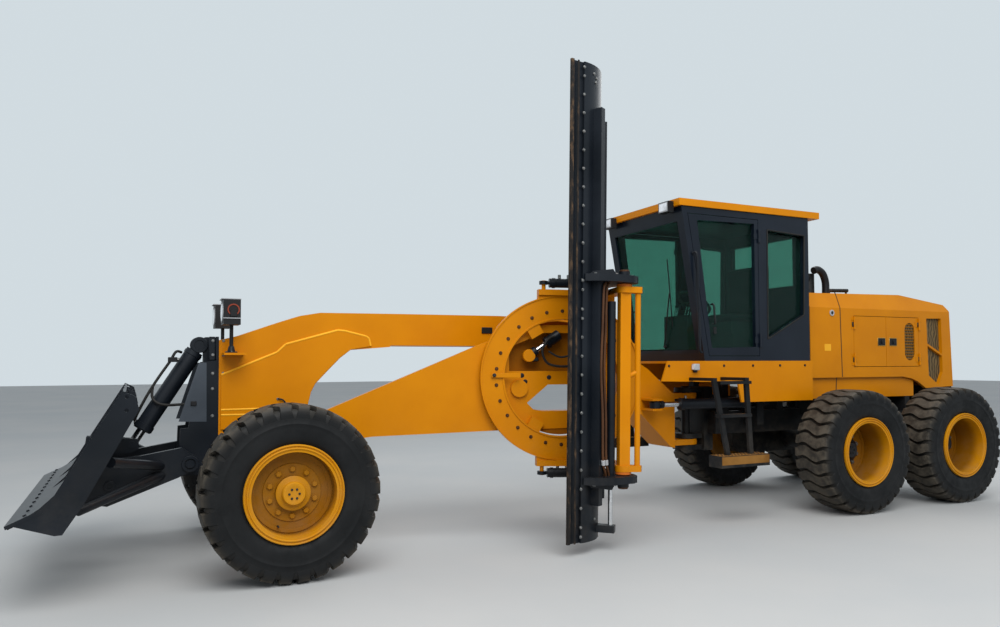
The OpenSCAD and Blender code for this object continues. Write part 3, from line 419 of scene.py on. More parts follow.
# A piece built part by part in its own frame; each part takes the look that was set last
class Shape:
    def __init__(self, name, body, within=home):
        self.name = name
        self.body = body
        self.within = within
        self.mesh = bmesh.new()
        self.share = self.mesh.verts.layers.float.new("treadShare")
        self.looks = []
        self.index = 0

    def look(self, name):
        if name not in self.looks:
            self.looks.append(name)
        self.index = self.looks.index(name)
        return self

    def skin(self, corners, faces, shares=None):
        made = [self.mesh.verts.new(c) for c in corners]
        for vert, share in zip(made, shares or []):
            vert[self.share] = share
        for face in faces:
            side = self.mesh.faces.new([made[i] for i in face])
            side.material_index = self.index
            side.smooth = True

    def loops(self, rows, closed=True, capped=True, shares=None):
        # equal rows of corners joined in order; each row is a ring if closed
        count = len(rows[0])
        steps = count if closed else count - 1
        faces = []
        for r in range(len(rows) - 1):
            for i in range(steps):
                j = (i + 1) % count
                faces.append((r * count + i, r * count + j, (r + 1) * count + j, (r + 1) * count + i))
        if capped:
            last = (len(rows) - 1) * count
            faces.append(tuple(reversed(range(count))))
            faces.append(tuple(range(last, last + count)))
        self.skin([c for row in rows for c in row], faces, shares)

    def slab(self, low, high, cut=0.0):
        # a box whose edges along X, or along its longest side, are cut back
        low, high = Vector(low), Vector(high)
        size = high - low
        along = max(range(3), key=lambda k: size[k])
        u, v = [k for k in range(3) if k != along]
        c = min(cut, size[u] / 3, size[v] / 3)
        corners = [(c, 0), (size[u] - c, 0), (size[u], c), (size[u], size[v] - c), (size[u] - c, size[v]),
                   (c, size[v]), (0, size[v] - c), (0, c)] if c else [
            (0, 0), (size[u], 0), (size[u], size[v]), (0, size[v])]
        rows = []
        for at, inset in [(0, c), (c, 0), (size[along] - c, 0), (size[along], c)] if c else [
                (0, 0), (size[along], 0)]:
            row = []
            for a, b in corners:
                point = Vector((0, 0, 0))
                point[along] = low[along] + at
                point[u] = low[u] + min(max(a, inset), size[u] - inset)
                point[v] = low[v] + min(max(b, inset), size[v] - inset)
                row.append(point)
            rows.append(row)
        self.loops(rows)

    def plate(self, outline, axis, low, high):
        # an outline in the other two axes, in their order, made thick along the axis
        rows = []
        for at in (low, high):
            rows.append([Vector((at, a, b) if axis == 0 else (a, at, b) if axis == 1 else (a, b, at))
                         for a, b in outline])
        self.loops(rows)

    def sideSlab(self, side, x, y, z, cut):
        # a slab given for the left; side -1 makes its mirror on the right
        low, high = sorted((side * y[0], side * y[1]))
        self.slab((x[0], low, z[0]), (x[1], high, z[1]), cut)

    def sidePlate(self, side, outline, y):
        low, high = sorted((side * y[0], side * y[1]))
        self.plate(outline, 1, low, high)

    def lathe(self, start, direction, profile, sides=32, shares=None, capped=True):
        # profile: (distance along the direction, radius) from the start
        turned = Matrix.Translation(start) @ square(direction)
        rows = [[turned @ Vector((radius * math.cos(t), radius * math.sin(t), along))
                 for t in (2 * math.pi * i / sides for i in range(sides))] for along, radius in profile]
        spread = [share for share in shares for i in range(sides)] if shares else None
        self.loops(rows, capped=capped, shares=spread)

    def rod(self, start, end, radius, sides=20, cut=0.15):
        # a round bar with its ends cut back a little
        start, end = Vector(start), Vector(end)
        length = (end - start).length
        c = min(radius * cut, length / 4)
        self.lathe(start, end - start, [(0, radius - c), (c, radius), (length - c, radius),
                                        (length, radius - c)], sides)

    def ring(self, start, direction, inner, outer, height, sides=32):
        # a washer or collar
        h = height
        self.lathe(start, direction, [(0, inner), (0, outer), (h * 0.8, outer), (h, outer - h * 0.2),
                                      (h, inner), (0, inner)], sides, capped=False)

    def hose(self, points, radius, sides=10, steps=8):
        # a smooth round hose through the points
        path = smoothPath([Vector(p) for p in points], steps)
        rows = []
        side = None
        for i, point in enumerate(path):
            ahead = (path[min(i + 1, len(path) - 1)] - path[max(i - 1, 0)]).normalized()
            if side is None:
                side = ahead.orthogonal().normalized()
            side = (side - ahead * side.dot(ahead)).normalized()
            up = ahead.cross(side)
            rows.append([point + radius * (math.cos(t) * side + math.sin(t) * up)
                         for t in (2 * math.pi * k / sides for k in range(sides))])
        self.loops(rows)

    def toMesh(self):
        bmesh.ops.remove_doubles(self.mesh, verts=self.mesh.verts, dist=0.00002)
        bmesh.ops.recalc_face_normals(self.mesh, faces=self.mesh.faces)
        mesh = bpy.data.meshes.new(self.name)
        self.mesh.to_mesh(mesh)
        self.mesh.free()
        mesh.set_sharp_from_angle(angle=math.radians(38))
        for name in self.looks:
            mesh.materials.append(looks[name])
        return mesh

    def done(self, *stoodFor):
        mesh = self.toMesh()
        mesh.transform(self.within)
        return settle(self.name, mesh, self.body, self.looks[0], stoodFor)


def smoothPath(points, steps):
    # points of a smooth curve through the given ones
    path = []
    for i in range(len(points) - 1):
        before = points[max(i - 1, 0)]
        a, b = points[i], points[i + 1]
        after = points[min(i + 2, len(points) - 1)]
        for k in range(steps):
            t = k / steps
            path.append(0.5 * (2 * a + (b - before) * t + (2 * before - 5 * a + 4 * b - after) * t ** 2
                               + (3 * a - before - 3 * b + after) * t ** 3))
    path.append(points[-1])
    return path


def settle(name, mesh, body, look, stoodFor=()):
    # a finished piece: linked and carried by its body
    made = bpy.data.objects.new(name, mesh)
    bpy.context.scene.collection.objects.link(made)
    if body:
        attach(made, body)
    slotOf(look)
    if stoodFor:
        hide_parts(*stoodFor)
    return made


def makeCopier():
    # copies of one object stand on points, turned as each point says and by a small twist of their own
    tree = bpy.data.node_groups.new("copiesOnPoints", "GeometryNodeTree")
    inputs = {"Geometry": "Geometry", "Copy": "Object", "Twist": "Float", "Look": "Material"}
    for name, kind in inputs.items():
        tree.interface.new_socket(name, in_out="INPUT", socket_type="NodeSocket" + kind)
    tree.interface.new_socket("Geometry", in_out="OUTPUT", socket_type="NodeSocketGeometry")
    source = tree.nodes.new("NodeGroupInput")
    out = tree.nodes.new("NodeGroupOutput")
    copy = tree.nodes.new("GeometryNodeObjectInfo")
    turn = tree.nodes.new("GeometryNodeInputNamedAttribute")
    turn.data_type = "FLOAT_VECTOR"
    turn.inputs["Name"].default_value = "turn"
    stand = tree.nodes.new("GeometryNodeInstanceOnPoints")
    less = tree.nodes.new("ShaderNodeMath")
    less.operation = "MULTIPLY"
    less.inputs[1].default_value = -1.0
    chance = tree.nodes.new("FunctionNodeRandomValue")
    chance.data_type = "FLOAT"
    chance.inputs["Seed"].default_value = 7
    spin = tree.nodes.new("ShaderNodeCombineXYZ")
    rotate = tree.nodes.new("GeometryNodeRotateInstances")
    real = tree.nodes.new("GeometryNodeRealizeInstances")
    dress = tree.nodes.new("GeometryNodeSetMaterial")
    link = tree.links.new
    link(source.outputs["Geometry"], stand.inputs["Points"])
    link(source.outputs["Copy"], copy.inputs["Object"])
    link(copy.outputs["Geometry"], stand.inputs["Instance"])
    link(turn.outputs[0], stand.inputs["Rotation"])
    link(source.outputs["Twist"], less.inputs[0])
    link(less.outputs[0], chance.inputs[2])
    link(source.outputs["Twist"], chance.inputs[3])
    link(chance.outputs[1], spin.inputs["Z"])
    link(spin.outputs[0], rotate.inputs["Rotation"])
    link(stand.outputs["Instances"], rotate.inputs["Instances"])
    link(rotate.outputs["Instances"], real.inputs["Geometry"])
    link(real.outputs["Geometry"], dress.inputs["Geometry"])
    link(source.outputs["Look"], dress.inputs["Material"])
    link(dress.outputs["Geometry"], out.inputs["Geometry"])
    return tree


copier = makeCopier()


def copies(name, body, look, one, spots, twist=0.0, within=home):
    # one: the Shape to copy, Z outward; spots: (place, Euler turn) pairs
    proto = bpy.data.objects.new(name + ".one", one.toMesh())
    mesh = bpy.data.meshes.new(name + ".points")
    mesh.from_pydata([place for place, turn in spots], [], [])
    turns = mesh.attributes.new("turn", "FLOAT_VECTOR", "POINT")
    for i, (place, turn) in enumerate(spots):
        turns.data[i].vector = turn
    carrier = bpy.data.objects.new(name + ".carrier", mesh)
    for o in (proto, carrier):
        bpy.context.scene.collection.objects.link(o)
    modifier = carrier.modifiers.new("copies", "NODES")
    modifier.node_group = copier
    inputs = {item.name: item.identifier for item in copier.interface.items_tree if item.in_out == "INPUT"}
    modifier[inputs["Copy"]] = proto
    modifier[inputs["Twist"]] = twist
    modifier[inputs["Look"]] = looks[look]
    ready = carrier.evaluated_get(bpy.context.evaluated_depsgraph_get())
    finished = bpy.data.meshes.new_from_object(ready)
    finished.name = name
    finished.transform(within)
    finished.set_sharp_from_angle(angle=math.radians(38))
    carrier.modifiers.remove(modifier)
    for o in (carrier, proto):
        bpy.data.objects.remove(o)
    return settle(name, finished, body, look)


def facing(direction):
    return square(direction).to_euler()


def boltHead(size):
    # hexagon head on its washer, a few dozen faces
    one = Shape("boltHead", None)
    one.look("boltSteel")
    one.ring((0, 0, 0), (0, 0, 1), size * 0.4, size * 1.25, size * 0.2, 12)
    one.lathe((0, 0, size * 0.15), (0, 0, 1), [(0, size), (size * 0.55, size), (size * 0.7, size * 0.82)], 6)
    return one


def line(first, last, count):
    # evenly spaced places from first to last
    first, last = Vector(first), Vector(last)
    return [first.lerp(last, i / max(count - 1, 1)) for i in range(count)]


def circleOf(radius, count, height=0.0, start=0.0):
    # places on a circle round local Z
    return [Vector((radius * math.cos(t), radius * math.sin(t), height))
            for t in (start + 2 * math.pi * i / count for i in range(count))]


def bolts(name, body, size, groups, look="boltSteel", within=home):
    # groups: (places, direction) pairs
    spots = [(place, facing(direction)) for places, direction in groups for place in places]
    return copies(name, body, look, boltHead(size), spots, math.pi / 6, within)


# Tyres: a carcass with a bead, a ringed wall and a flat tread, and wavy lugs right across the tread
tyre = {"lugs": 30, "lugHalf": 0.077, "wave": 0.085, "flare": 1.14, "sides": 96}
# Distance from the middle plane, radius, share of tread dust
tyreWallPath = [(0.187, 0.3185, 0), (0.187, 0.357, 0), (0.193, 0.366, 0), (0.204, 0.385, 0),
                (0.2105, 0.420, 0), (0.2135, 0.470, 0), (0.2135, 0.496, 0), (0.2149, 0.499, 0),
                (0.2149, 0.504, 0), (0.2135, 0.507, 0), (0.2135, 0.535, 0), (0.211, 0.565, 0.1),
                (0.202, 0.590, 0.2), (0.188, 0.601, 0.3), (0.100, 0.604, 0.3)]
# Half a lug: tip's distance and radius, root's distance and radius, wave, share of width, tread dust
lugPath = [(0.000, 0.6392, 0.000, 0.598, 0.00, 1.00, 1.0), (0.045, 0.6392, 0.045, 0.598, 0.40, 1.00, 1.0),
           (0.085, 0.6392, 0.085, 0.598, 0.52, 1.00, 1.0), (0.125, 0.6385, 0.125, 0.598, 0.30, 1.00, 1.0),
           (0.165, 0.6345, 0.165, 0.597, 0.02, 0.94, 1.0), (0.194, 0.6275, 0.190, 0.592, 0.05, 0.82, 0.9),
           (0.2085, 0.608, 0.201, 0.585, 0.10, 0.80, 0.3), (0.2145, 0.588, 0.207, 0.575, 0.12, 0.88, 0.1),
           (0.2149, 0.565, 0.209, 0.560, 0.12, 1.00, 0.0), (0.2140, 0.545, 0.2115, 0.544, 0.12, 1.14, 0.0)]


def tyreWall(name, body, node, within):
    half = tyreWallPath
    path = half + [(-z, r, s) for z, r, s in reversed(half)] + [half[0]]
    wall = Shape(name, body, within)
    wall.look("tyreRubber")
    wall.lathe((0, 0, 0), (0, 0, 1), [(z, r) for z, r, s in path], tyre["sides"],
               [s for z, r, s in path], capped=False)
    wall.done(node)


def lugBar():
    # one lug from shoulder to shoulder; its far half waves the other way
    one = Shape("lugBar", None)
    one.look("tyreRubber")
    stations = [(side, row) for side, rows in ((-1, lugPath[:0:-1]), (1, lugPath)) for row in rows]
    rows = []
    shares = []
    for side, (tipZ, tipR, rootZ, rootR, swept, width, dust) in stations:
        middle = side * tyre["wave"] * swept
        half = tyre["lugHalf"] * width
        for z, r, lean in [(rootZ, rootR, -half * tyre["flare"]), (tipZ, tipR, -half),
                           (tipZ, tipR, half), (rootZ, rootR, half * tyre["flare"])]:
            turn = middle + lean
            rows.append(Vector((r * math.cos(turn), r * math.sin(turn), side * z)))
            shares.append(dust if r == tipR else 0.2)
    one.loops([rows[i:i + 4] for i in range(0, len(rows), 4)], shares=shares)
    return one


rimTrim = {"nuts": 10, "nutCircle": 0.1675, "nutSize": 0.021, "capBolts": 6, "capCircle": 0.036,
           "faceZ": 0.2035, "frontDisc": 0.078, "frontHub": 0.130, "rearDisc": -0.112, "rearHub": -0.060,
           "valve": (0.100, 0.235)}


def rimDress(place, front, body, within):
    r = rimTrim
    disc = r["frontDisc"] if front else r["rearDisc"]
    hub = r["frontHub"] if front else r["rearHub"]
    trim = Shape("rimTrim_" + place, body, within)
    trim.look("rimCoat")
    for ridge in (0.348, 0.326):
        trim.lathe((0, 0, r["faceZ"]), (0, 0, 1), [
            (0, ridge + 0.008), (0.008, ridge + 0.005), (0.010, ridge), (0.008, ridge - 0.005),
            (0, ridge - 0.008)], 64, capped=False)
    trim.ring((0, 0, disc - 0.001), (0, 0, 1), 0.121, 0.208, 0.011, 64)
    trim.ring((0, 0, disc), (0, 0, 1), 0.262, 0.290, 0.007, 64)
    if not front:
        trim.look("blackCoat")
    trim.lathe((0, 0, hub - 0.001), (0, 0, 1), [
        (0, 0.124), (0.006, 0.124), (0.011, 0.116), (0.012, 0.092), (0.016, 0.087), (0.040, 0.083),
        (0.047, 0.076), (0.048, 0.062), (0.0455, 0.054), (0.046, 0.004)], 48)
    trim.look("hoseRubber")
    valve = Vector((*r["valve"], disc))
    trim.rod(valve, valve + Vector((0, 0, 0.045)), 0.007, 8)
    trim.done()
    nutGroups = [(circleOf(r["nutCircle"], r["nuts"], disc + 0.010, math.pi / 2), (0, 0, 1))]
    bolts("wheelNuts_" + place, body, r["nutSize"], nutGroups, "rimCoat" if front else "boltSteel", within)
    capGroups = [(circleOf(r["capCircle"], r["capBolts"], hub + 0.0465), (0, 0, 1))]
    bolts("capBolts_" + place, body, 0.007, capGroups, "castIron", within)


def makeWheels():
    for row in ("front", "mid", "rear"):
        for sideName, side in (("left", 1), ("right", -1)):
            place = row + "_" + sideName
            body = "wheel_" + place
            within = wheelFrame(wheels[row], side)
            tyreWall("tyreWall_" + place, body, "tyre_" + place, within)
            pitch = 2 * math.pi / tyre["lugs"]
            copies("tyreLugs_" + place, body, "tyreRubber", lugBar(),
                   [((0, 0, 0), (0, 0, i * pitch)) for i in range(tyre["lugs"])], 0.0, within)
            rimDress(place, row == "front", body, within)
    print("wheels dressed")


makeWheels()

# Circle: its bolts, the bar's bolt, and the shims at the ends of the moldboard's pivot
circleTrim = {"boltCircle": 0.588, "inner": 0.515, "lip": 0.014, "bolts": 26, "boltSize": 0.013,
              "bar": [((0.372, 0.010, -0.006), (0.630, 0.020, 0.034), 0.002),
                      ((0.560, 0.0, 0.002), (0.625, 0.011, 0.026), 0.001)],
              "barBolt": (0.606, 0.020, 0.014), "plugY": -0.0698,
              "plugs": [(0.345, 0.014), (0.314, -0.040), (0.10, 0.0), (-0.10, 0.0)],
              "pivot": (-0.440, 0.390), "armOut": 0.7755, "bracketIn": 0.8048, "shim": (0.046, 0.066)}


def dressCircle():
    c = circleTrim
    places = [Vector((p.x, 0.0, p.y)) for p in circleOf(c["boltCircle"], c["bolts"], 0.0, 0.12)]
    bolts("circleBolts", "turn_circle", c["boltSize"], [(places, (0, 1, 0))], "brownPin", stowed)
    lip = Shape("circleLip", "turn_circle", stowed)
    lip.look("yellowCoat")
    lip.ring((0, -0.002, 0), (0, 1, 0), c["inner"], c["inner"] + c["lip"], 0.010, 96)
    for low, high, cut in c["bar"]:
        lip.slab(low, high, cut)
    lip.done()
    bolts("barBolt", "turn_circle", 0.014, [([Vector(c["barBolt"])], (0, 1, 0))], "castIron", stowed)
    shims = Shape("pivotShims", "turn_circle", stowed)
    shims.look("orangeShim")
    for side in (1, -1):
        shims.ring((*c["pivot"], side * c["armOut"]), (0, 0, side), *c["shim"],
                   c["bracketIn"] - c["armOut"] - 0.004)
    shims.done()
    bar = Shape("barPlugs", "drawbar", stowed)
    bar.look("blackPlastic")
    for x, z in c["plugs"]:
        bar.lathe((x, c["plugY"], z), (0, 1, 0), [(0, 0.020), (0.003, 0.020), (0.004, 0.016)], 20)
    bar.done()
    print("circle dressed")


dressCircle()

# Swing ram, seen through the upper opening of the drawbar, and the drawbar's webs: first and last angle
# round the circle's middle, and their faces
swingRam = {"eye": (0.285, -0.075, 0.190), "knee": (0.130, -0.075, 0.300), "foot": (0.010, -0.075, 0.385),
            "eyeR": 0.056, "rodR": 0.024, "barrelR": 0.050, "webR": 0.507,
            "hoses": [(0.011, [(0.060, -0.030, 0.365), (0.130, 0.000, 0.330), (0.180, 0.010, 0.230),
                               (0.120, 0.0, 0.120), (-0.060, -0.010, 0.100), (-0.240, -0.020, 0.160),
                               (-0.300, -0.030, 0.330)]),
                      (0.009, [(-0.300, -0.030, 0.340), (-0.200, 0.000, 0.250), (0.000, 0.005, 0.180),
                               (0.120, -0.010, 0.230)])],
            "webs": ((4.0, 176.0, -0.170, -0.160), (222.0, 318.0, -0.088, -0.078))}


def dressDrawbar():
    s = swingRam
    ram = Shape("swingRam", "drawbar", stowed)
    eye, knee, foot = (Vector(s[k]) for k in ("eye", "knee", "foot"))
    ram.look("yellowCoat")
    ram.lathe(eye - Vector((0, 0.035, 0)), (0, 1, 0), [(0, s["eyeR"] - 0.004), (0.004, s["eyeR"]),
                                                      (0.066, s["eyeR"]), (0.070, s["eyeR"] - 0.004)])
    ram.look("blackCoat")
    ram.slab(eye + Vector((-0.085, -0.035, -0.052)), eye + Vector((0.018, 0.030, -0.012)), 0.008)
    ram.ring(eye + (knee - eye) * 0.25, knee - eye, s["rodR"], 0.042, 0.04)
    ram.rod(knee, foot, s["barrelR"])
    ram.ring(knee, foot - knee, s["rodR"], s["barrelR"] + 0.006, 0.03)
    ram.look("chromeRod")
    ram.rod(eye, knee, s["rodR"])
    ram.look("hoseRubber")
    for radius, points in s["hoses"]:
        ram.hose(points, radius)
    ram.done()
    web = Shape("drawbarWeb", "drawbar", stowed)
    # their darker yellow is painted shade, for the webs lie deep in the drawbar's opening
    web.look("shadedWebCoat")
    for first, last, low, high in s["webs"]:
        arc = [math.radians(first + (last - first) * i / 16) for i in range(17)]
        web.plate([(s["webR"] * math.cos(t), s["webR"] * math.sin(t)) for t in arc], 1, low, high)
    web.done()
    print("drawbar dressed")


dressDrawbar()

# Moldboard: worn strips along its cutting edge (near and far side, lift), the rows of bolts that hold the
# edge's two lengths, and a few bolts on its back (angle round the curve, height)
edge = {"tip": (0.070, 0.575), "angle": 24.0, "low": -1.335, "seam": 0.6255, "top": 2.629, "gap": 0.003,
        "strips": [(-0.016, 0.012, 0.002), (0.048, 0.066, 0.0025)],
        "boltFrom": 0.119, "boltSize": 0.011, "pitch": 0.1546, "endPitch": 0.0762, "bolts": 12,
        "curveMiddle": (0.1231, 0.1608, 0), "curveR": 0.400,
        "backBolts": [(131.0, 2.555), (137.0, 2.528), (135.0, 2.487), (137.0, -1.037), (141.0, -1.162)]}


def edgePoint(inward, outward):
    # inward from the edge's tip along the moldboard, outward from its back
    turn = math.radians(edge["angle"])
    along = Vector((-math.cos(turn), -math.sin(turn)))
    out = Vector((-math.sin(turn), math.cos(turn)))
    return Vector(edge["tip"]) + along * inward + out * outward


def dressBlade():
    e = edge
    strips = Shape("edgeStrips", "blade", stowed)
    strips.look("edgeSteel")
    for low, high in ((e["low"], e["seam"] - e["gap"]), (e["seam"] + e["gap"], e["top"])):
        for near, far, lift in e["strips"]:
            corners = [(near, -0.020 if near < 0 else -0.001), (far, -0.001), (far, lift), (near, lift)]
            strips.plate([edgePoint(*c) for c in corners], 2, low, high)
    strips.done()
    places = []
    for top in (e["top"] - 0.046, e["seam"] - 0.056):
        rows = [top] + [top - e["endPitch"] - e["pitch"] * i for i in range(e["bolts"])]
        rows.append(rows[-1] - e["endPitch"])
        places += [edgePoint(e["boltFrom"], 0.0).to_3d() + Vector((0, 0, z)) for z in rows]
    out = (edgePoint(0, 1) - edgePoint(0, 0)).to_3d()
    middle = Vector(e["curveMiddle"])
    groups = [(places, out)]
    for angle, z in e["backBolts"]:
        t = math.radians(angle)
        radial = Vector((math.cos(t), math.sin(t), 0))
        groups.append(([middle + radial * e["curveR"] + Vector((0, 0, z))], radial))
    bolts("edgeBolts", "blade", e["boltSize"], groups, "boltSteel", stowed)
    print("moldboard dressed")


dressBlade()

# Tilt brackets: pin heads, ribs, bolts and the side shift ram's hoses
bracketTrim = {"out": 0.8652, "pinTop": 0.9052, "pin": (-0.440, 0.390),
               "bolts": [(-0.150, 0.520), (-0.330, 0.515), (-0.500, 0.400)],
               "ribX": (-0.330, -0.300, -0.130, -0.100), "ribY": (0.505, 0.345), "ribOut": 0.045,
               "hoses": [(-0.262, 0.475), (-0.228, 0.500)]}


def dressBrackets():
    b = bracketTrim
    heads = Shape("bracketPins", "tilt_bracket", stowed)
    heads.look("brownPin")
    for side in (1, -1):
        heads.lathe((*b["pin"], side * b["pinTop"]), (0, 0, side), [
            (0, 0.030), (0, 0.043), (0.010, 0.043), (0.014, 0.038), (0.014, 0.004)], 32)
    heads.look("blackCoat")
    x = b["ribX"]
    for side in (1, -1):
        inner = side * b["out"]
        outer = side * (b["out"] + b["ribOut"])
        rib = [(x[0], inner), (x[3], inner), (x[2], inner + (outer - inner) * 0.5), (x[1], outer)]
        for y in b["ribY"]:
            heads.plate(rib, 1, y, y + 0.016)
    heads.done()
    groups = [([Vector((x, y, side * b["out"])) for x, y in b["bolts"]], (0, 0, side)) for side in (1, -1)]
    bolts("bracketBolts", "tilt_bracket", 0.014, groups, within=stowed)
    hoses = Shape("shiftHoses", "tilt_bracket", stowed)
    for x, y in b["hoses"]:
        hoses.look("brownHose")
        hoses.hose([(x - 0.03, y - 0.04, 0.806), (x, y, 0.740), (x + 0.012, y + 0.01, 0.420),
                    (x + 0.022, y + 0.012, 0.070), (x + 0.006, y + 0.010, -0.300), (x, y, -0.600),
                    (x - 0.010, y - 0.010, -0.720)], 0.0105)
        hoses.hose([(x - 0.010, y - 0.010, -0.720), (x - 0.030, y - 0.030, -0.770),
                    (x - 0.040, y - 0.045, -0.806)], 0.0105)
        hoses.look("greyPlastic")
        hoses.rod((x - 0.004, y - 0.004, -0.670), (x - 0.010, y - 0.010, -0.712), 0.016, 12)
    hoses.done()
    print("brackets dressed")


dressBrackets()

# Rams: barrel pin, rod pin, barrel radius and length, body, frame; each gets a gland, a collar and ports
ramRows = [
    ("hingeLeft", (-1.700, 0.430, 1.140), (-0.533, 0.350, 1.140), 0.055, 0.880, "hinge_barrel_left", home),
    ("hingeRight", (-1.700, -0.430, 1.140), (-0.533, -0.350, 1.140), 0.055, 0.880, "hinge_barrel_right",
     home),
    ("push", (3.808, 0, 1.725), (4.299, 0, 0.932), 0.068, 0.802, "push_barrel", home),
    ("pitchTop", (0.170, -0.010, 0.835), (-0.390, 0.020, 0.835), 0.041, 0.300, "pitch_barrels", stowed),
    ("pitchLow", (0.170, -0.010, -0.835), (-0.390, 0.020, -0.835), 0.041, 0.300, "pitch_barrels", stowed)]


def dressRams():
    for name, first, last, radius, length, body, within in ramRows:
        start = Vector(first)
        ahead = (Vector(last) - start).normalized()
        gland = Shape("gland_" + name, body, within)
        gland.look("blackCoat")
        gland.ring(start + ahead * (length - 0.055), ahead, radius - 0.002, radius + 0.008, 0.055)
        gland.ring(start + ahead * 0.075, ahead, radius - 0.002, radius + 0.005, 0.030)
        gland.look("boltSteel")
        # the ports stand on top, or in front where the ram is steep
        up = Vector((0, 0, 1)) if abs(ahead.z) < 0.5 else Vector((1, 0, 0))
        for at in (0.14, length - 0.08):
            port = start + ahead * at + up * (radius - 0.002)
            gland.rod(port, port + up * 0.035, 0.014, 12)
        gland.done()
    print("rams dressed")


dressRams()


def dressEyes():
    # black sleeves on the rod eyes of the hinge rams, which are the first two rows
    for sideName, (name, pin, rodPin, *rest) in zip(("left", "right"), ramRows):
        sleeve = Shape("hingeEye_" + sideName, "hinge_rod_" + sideName)
        sleeve.look("blackCoat")
        eye = Vector(rodPin)
        ahead = (Vector(pin) - eye).normalized()
        sleeve.ring(eye + ahead * 0.052, ahead, 0.0275, 0.040, 0.050, 28)
        sleeve.ring(eye - Vector((0, 0, 0.036)), (0, 0, 1), 0.0300, 0.0565, 0.072, 32)
        sleeve.done()


dressEyes()

# Front frame: a doubler plate on each side with a weld bead along its edge, and small fittings
frameSide = {"half": 0.200, "thick": 0.012, "bead": 0.010, "fitting": (3.205, 0.208, 1.276),
             "lines": [[(3.652, 1.197), (3.330, 1.199)], [(3.652, 1.156), (3.425, 1.153)]],
             "hose": [(3.205, 0.210, 1.276), (3.190, 0.228, 1.276), (3.160, 0.232, 1.262),
                      (3.130, 0.222, 1.215)],
             "pad": ((1.231, 0.2003, 1.848), (1.340, 0.212, 1.906))}
doubler = [(3.652, 1.480), (3.213, 1.664), (3.142, 1.732), (2.703, 1.856), (2.640, 1.851), (2.449, 1.806),
           (2.425, 1.787), (2.410, 1.722), (2.589, 1.691), (2.684, 1.621), (2.785, 1.518), (2.896, 1.401),
           (2.932, 1.331), (2.964, 1.199), (3.330, 1.199), (3.400, 1.040), (3.652, 1.040)]


def dressFrame():
    f = frameSide
    sides = Shape("frameDoublers", "front_frame")
    for side in (1, -1):
        sides.look("yellowCoat")
        sides.sidePlate(side, doubler, (f["half"], f["half"] + f["thick"]))
        out = side * (f["half"] + 0.006)
        # the beads' paler yellow is a painted highlight
        sides.look("labelYellowAndBeadHighlight")
        for run in [doubler[:8], *f["lines"]]:
            for (x, z), (nextX, nextZ) in zip(run, run[1:]):
                sides.rod((x, out, z), (nextX, out, nextZ), f["bead"], 12)
    sides.look("hoseRubber")
    sides.hose(f["hose"], 0.007, 8)
    sides.look("blackPlastic")
    sides.slab(*f["pad"], 0.004)
    sides.done()
    bolts("frameFitting", "front_frame", 0.012, [([Vector(f["fitting"])], (0, 1, 0))])
    print("front frame dressed")


dressFrame()

# Push mast: its top plate, pin caps, bolts, hoses and the clamp that holds one
mast = {"back": (3.6705, 3.695), "half": 0.200, "boltZ": (1.757, 1.642, 1.493, 1.369, 1.151),
        "boltX": (3.717, 3.636), "topPin": (3.808, 1.725), "foot": (3.887, 0.790), "armOut": 0.3255,
        "reflectingSide": [(3.823, 1.580), (3.764, 1.580), (3.760, 1.106), (3.968, 1.112)],
        "plateZ": (1.601, 1.790), "clamp": ((3.836, 0.168, 1.236), (3.880, 0.214, 1.272)),
        "linkPin": (4.448, 0.655), "edgeFrom": (4.905, -1.17, 0.6215), "edgePitch": 0.18, "edgeBolts": 14,
        "ramHose": [(3.942, 0.015, 1.665), (3.985, 0.055, 1.668), (4.030, 0.060, 1.590),
                    (4.095, 0.060, 1.490), (4.150, 0.060, 1.400), (4.205, 0.055, 1.300),
                    (4.262, 0.040, 1.180), (4.285, 0.020, 1.120)],
        "ramClamp": ((3.975, 0.035, 1.585), (4.045, 0.080, 1.625)),
        "spanHose": [(4.154, 0.050, 1.395), (4.158, 0.070, 1.310), (4.125, 0.090, 1.262),
                     (4.060, 0.120, 1.243), (3.960, 0.160, 1.246), (3.880, 0.190, 1.252)],
        "hoseR": 0.011}


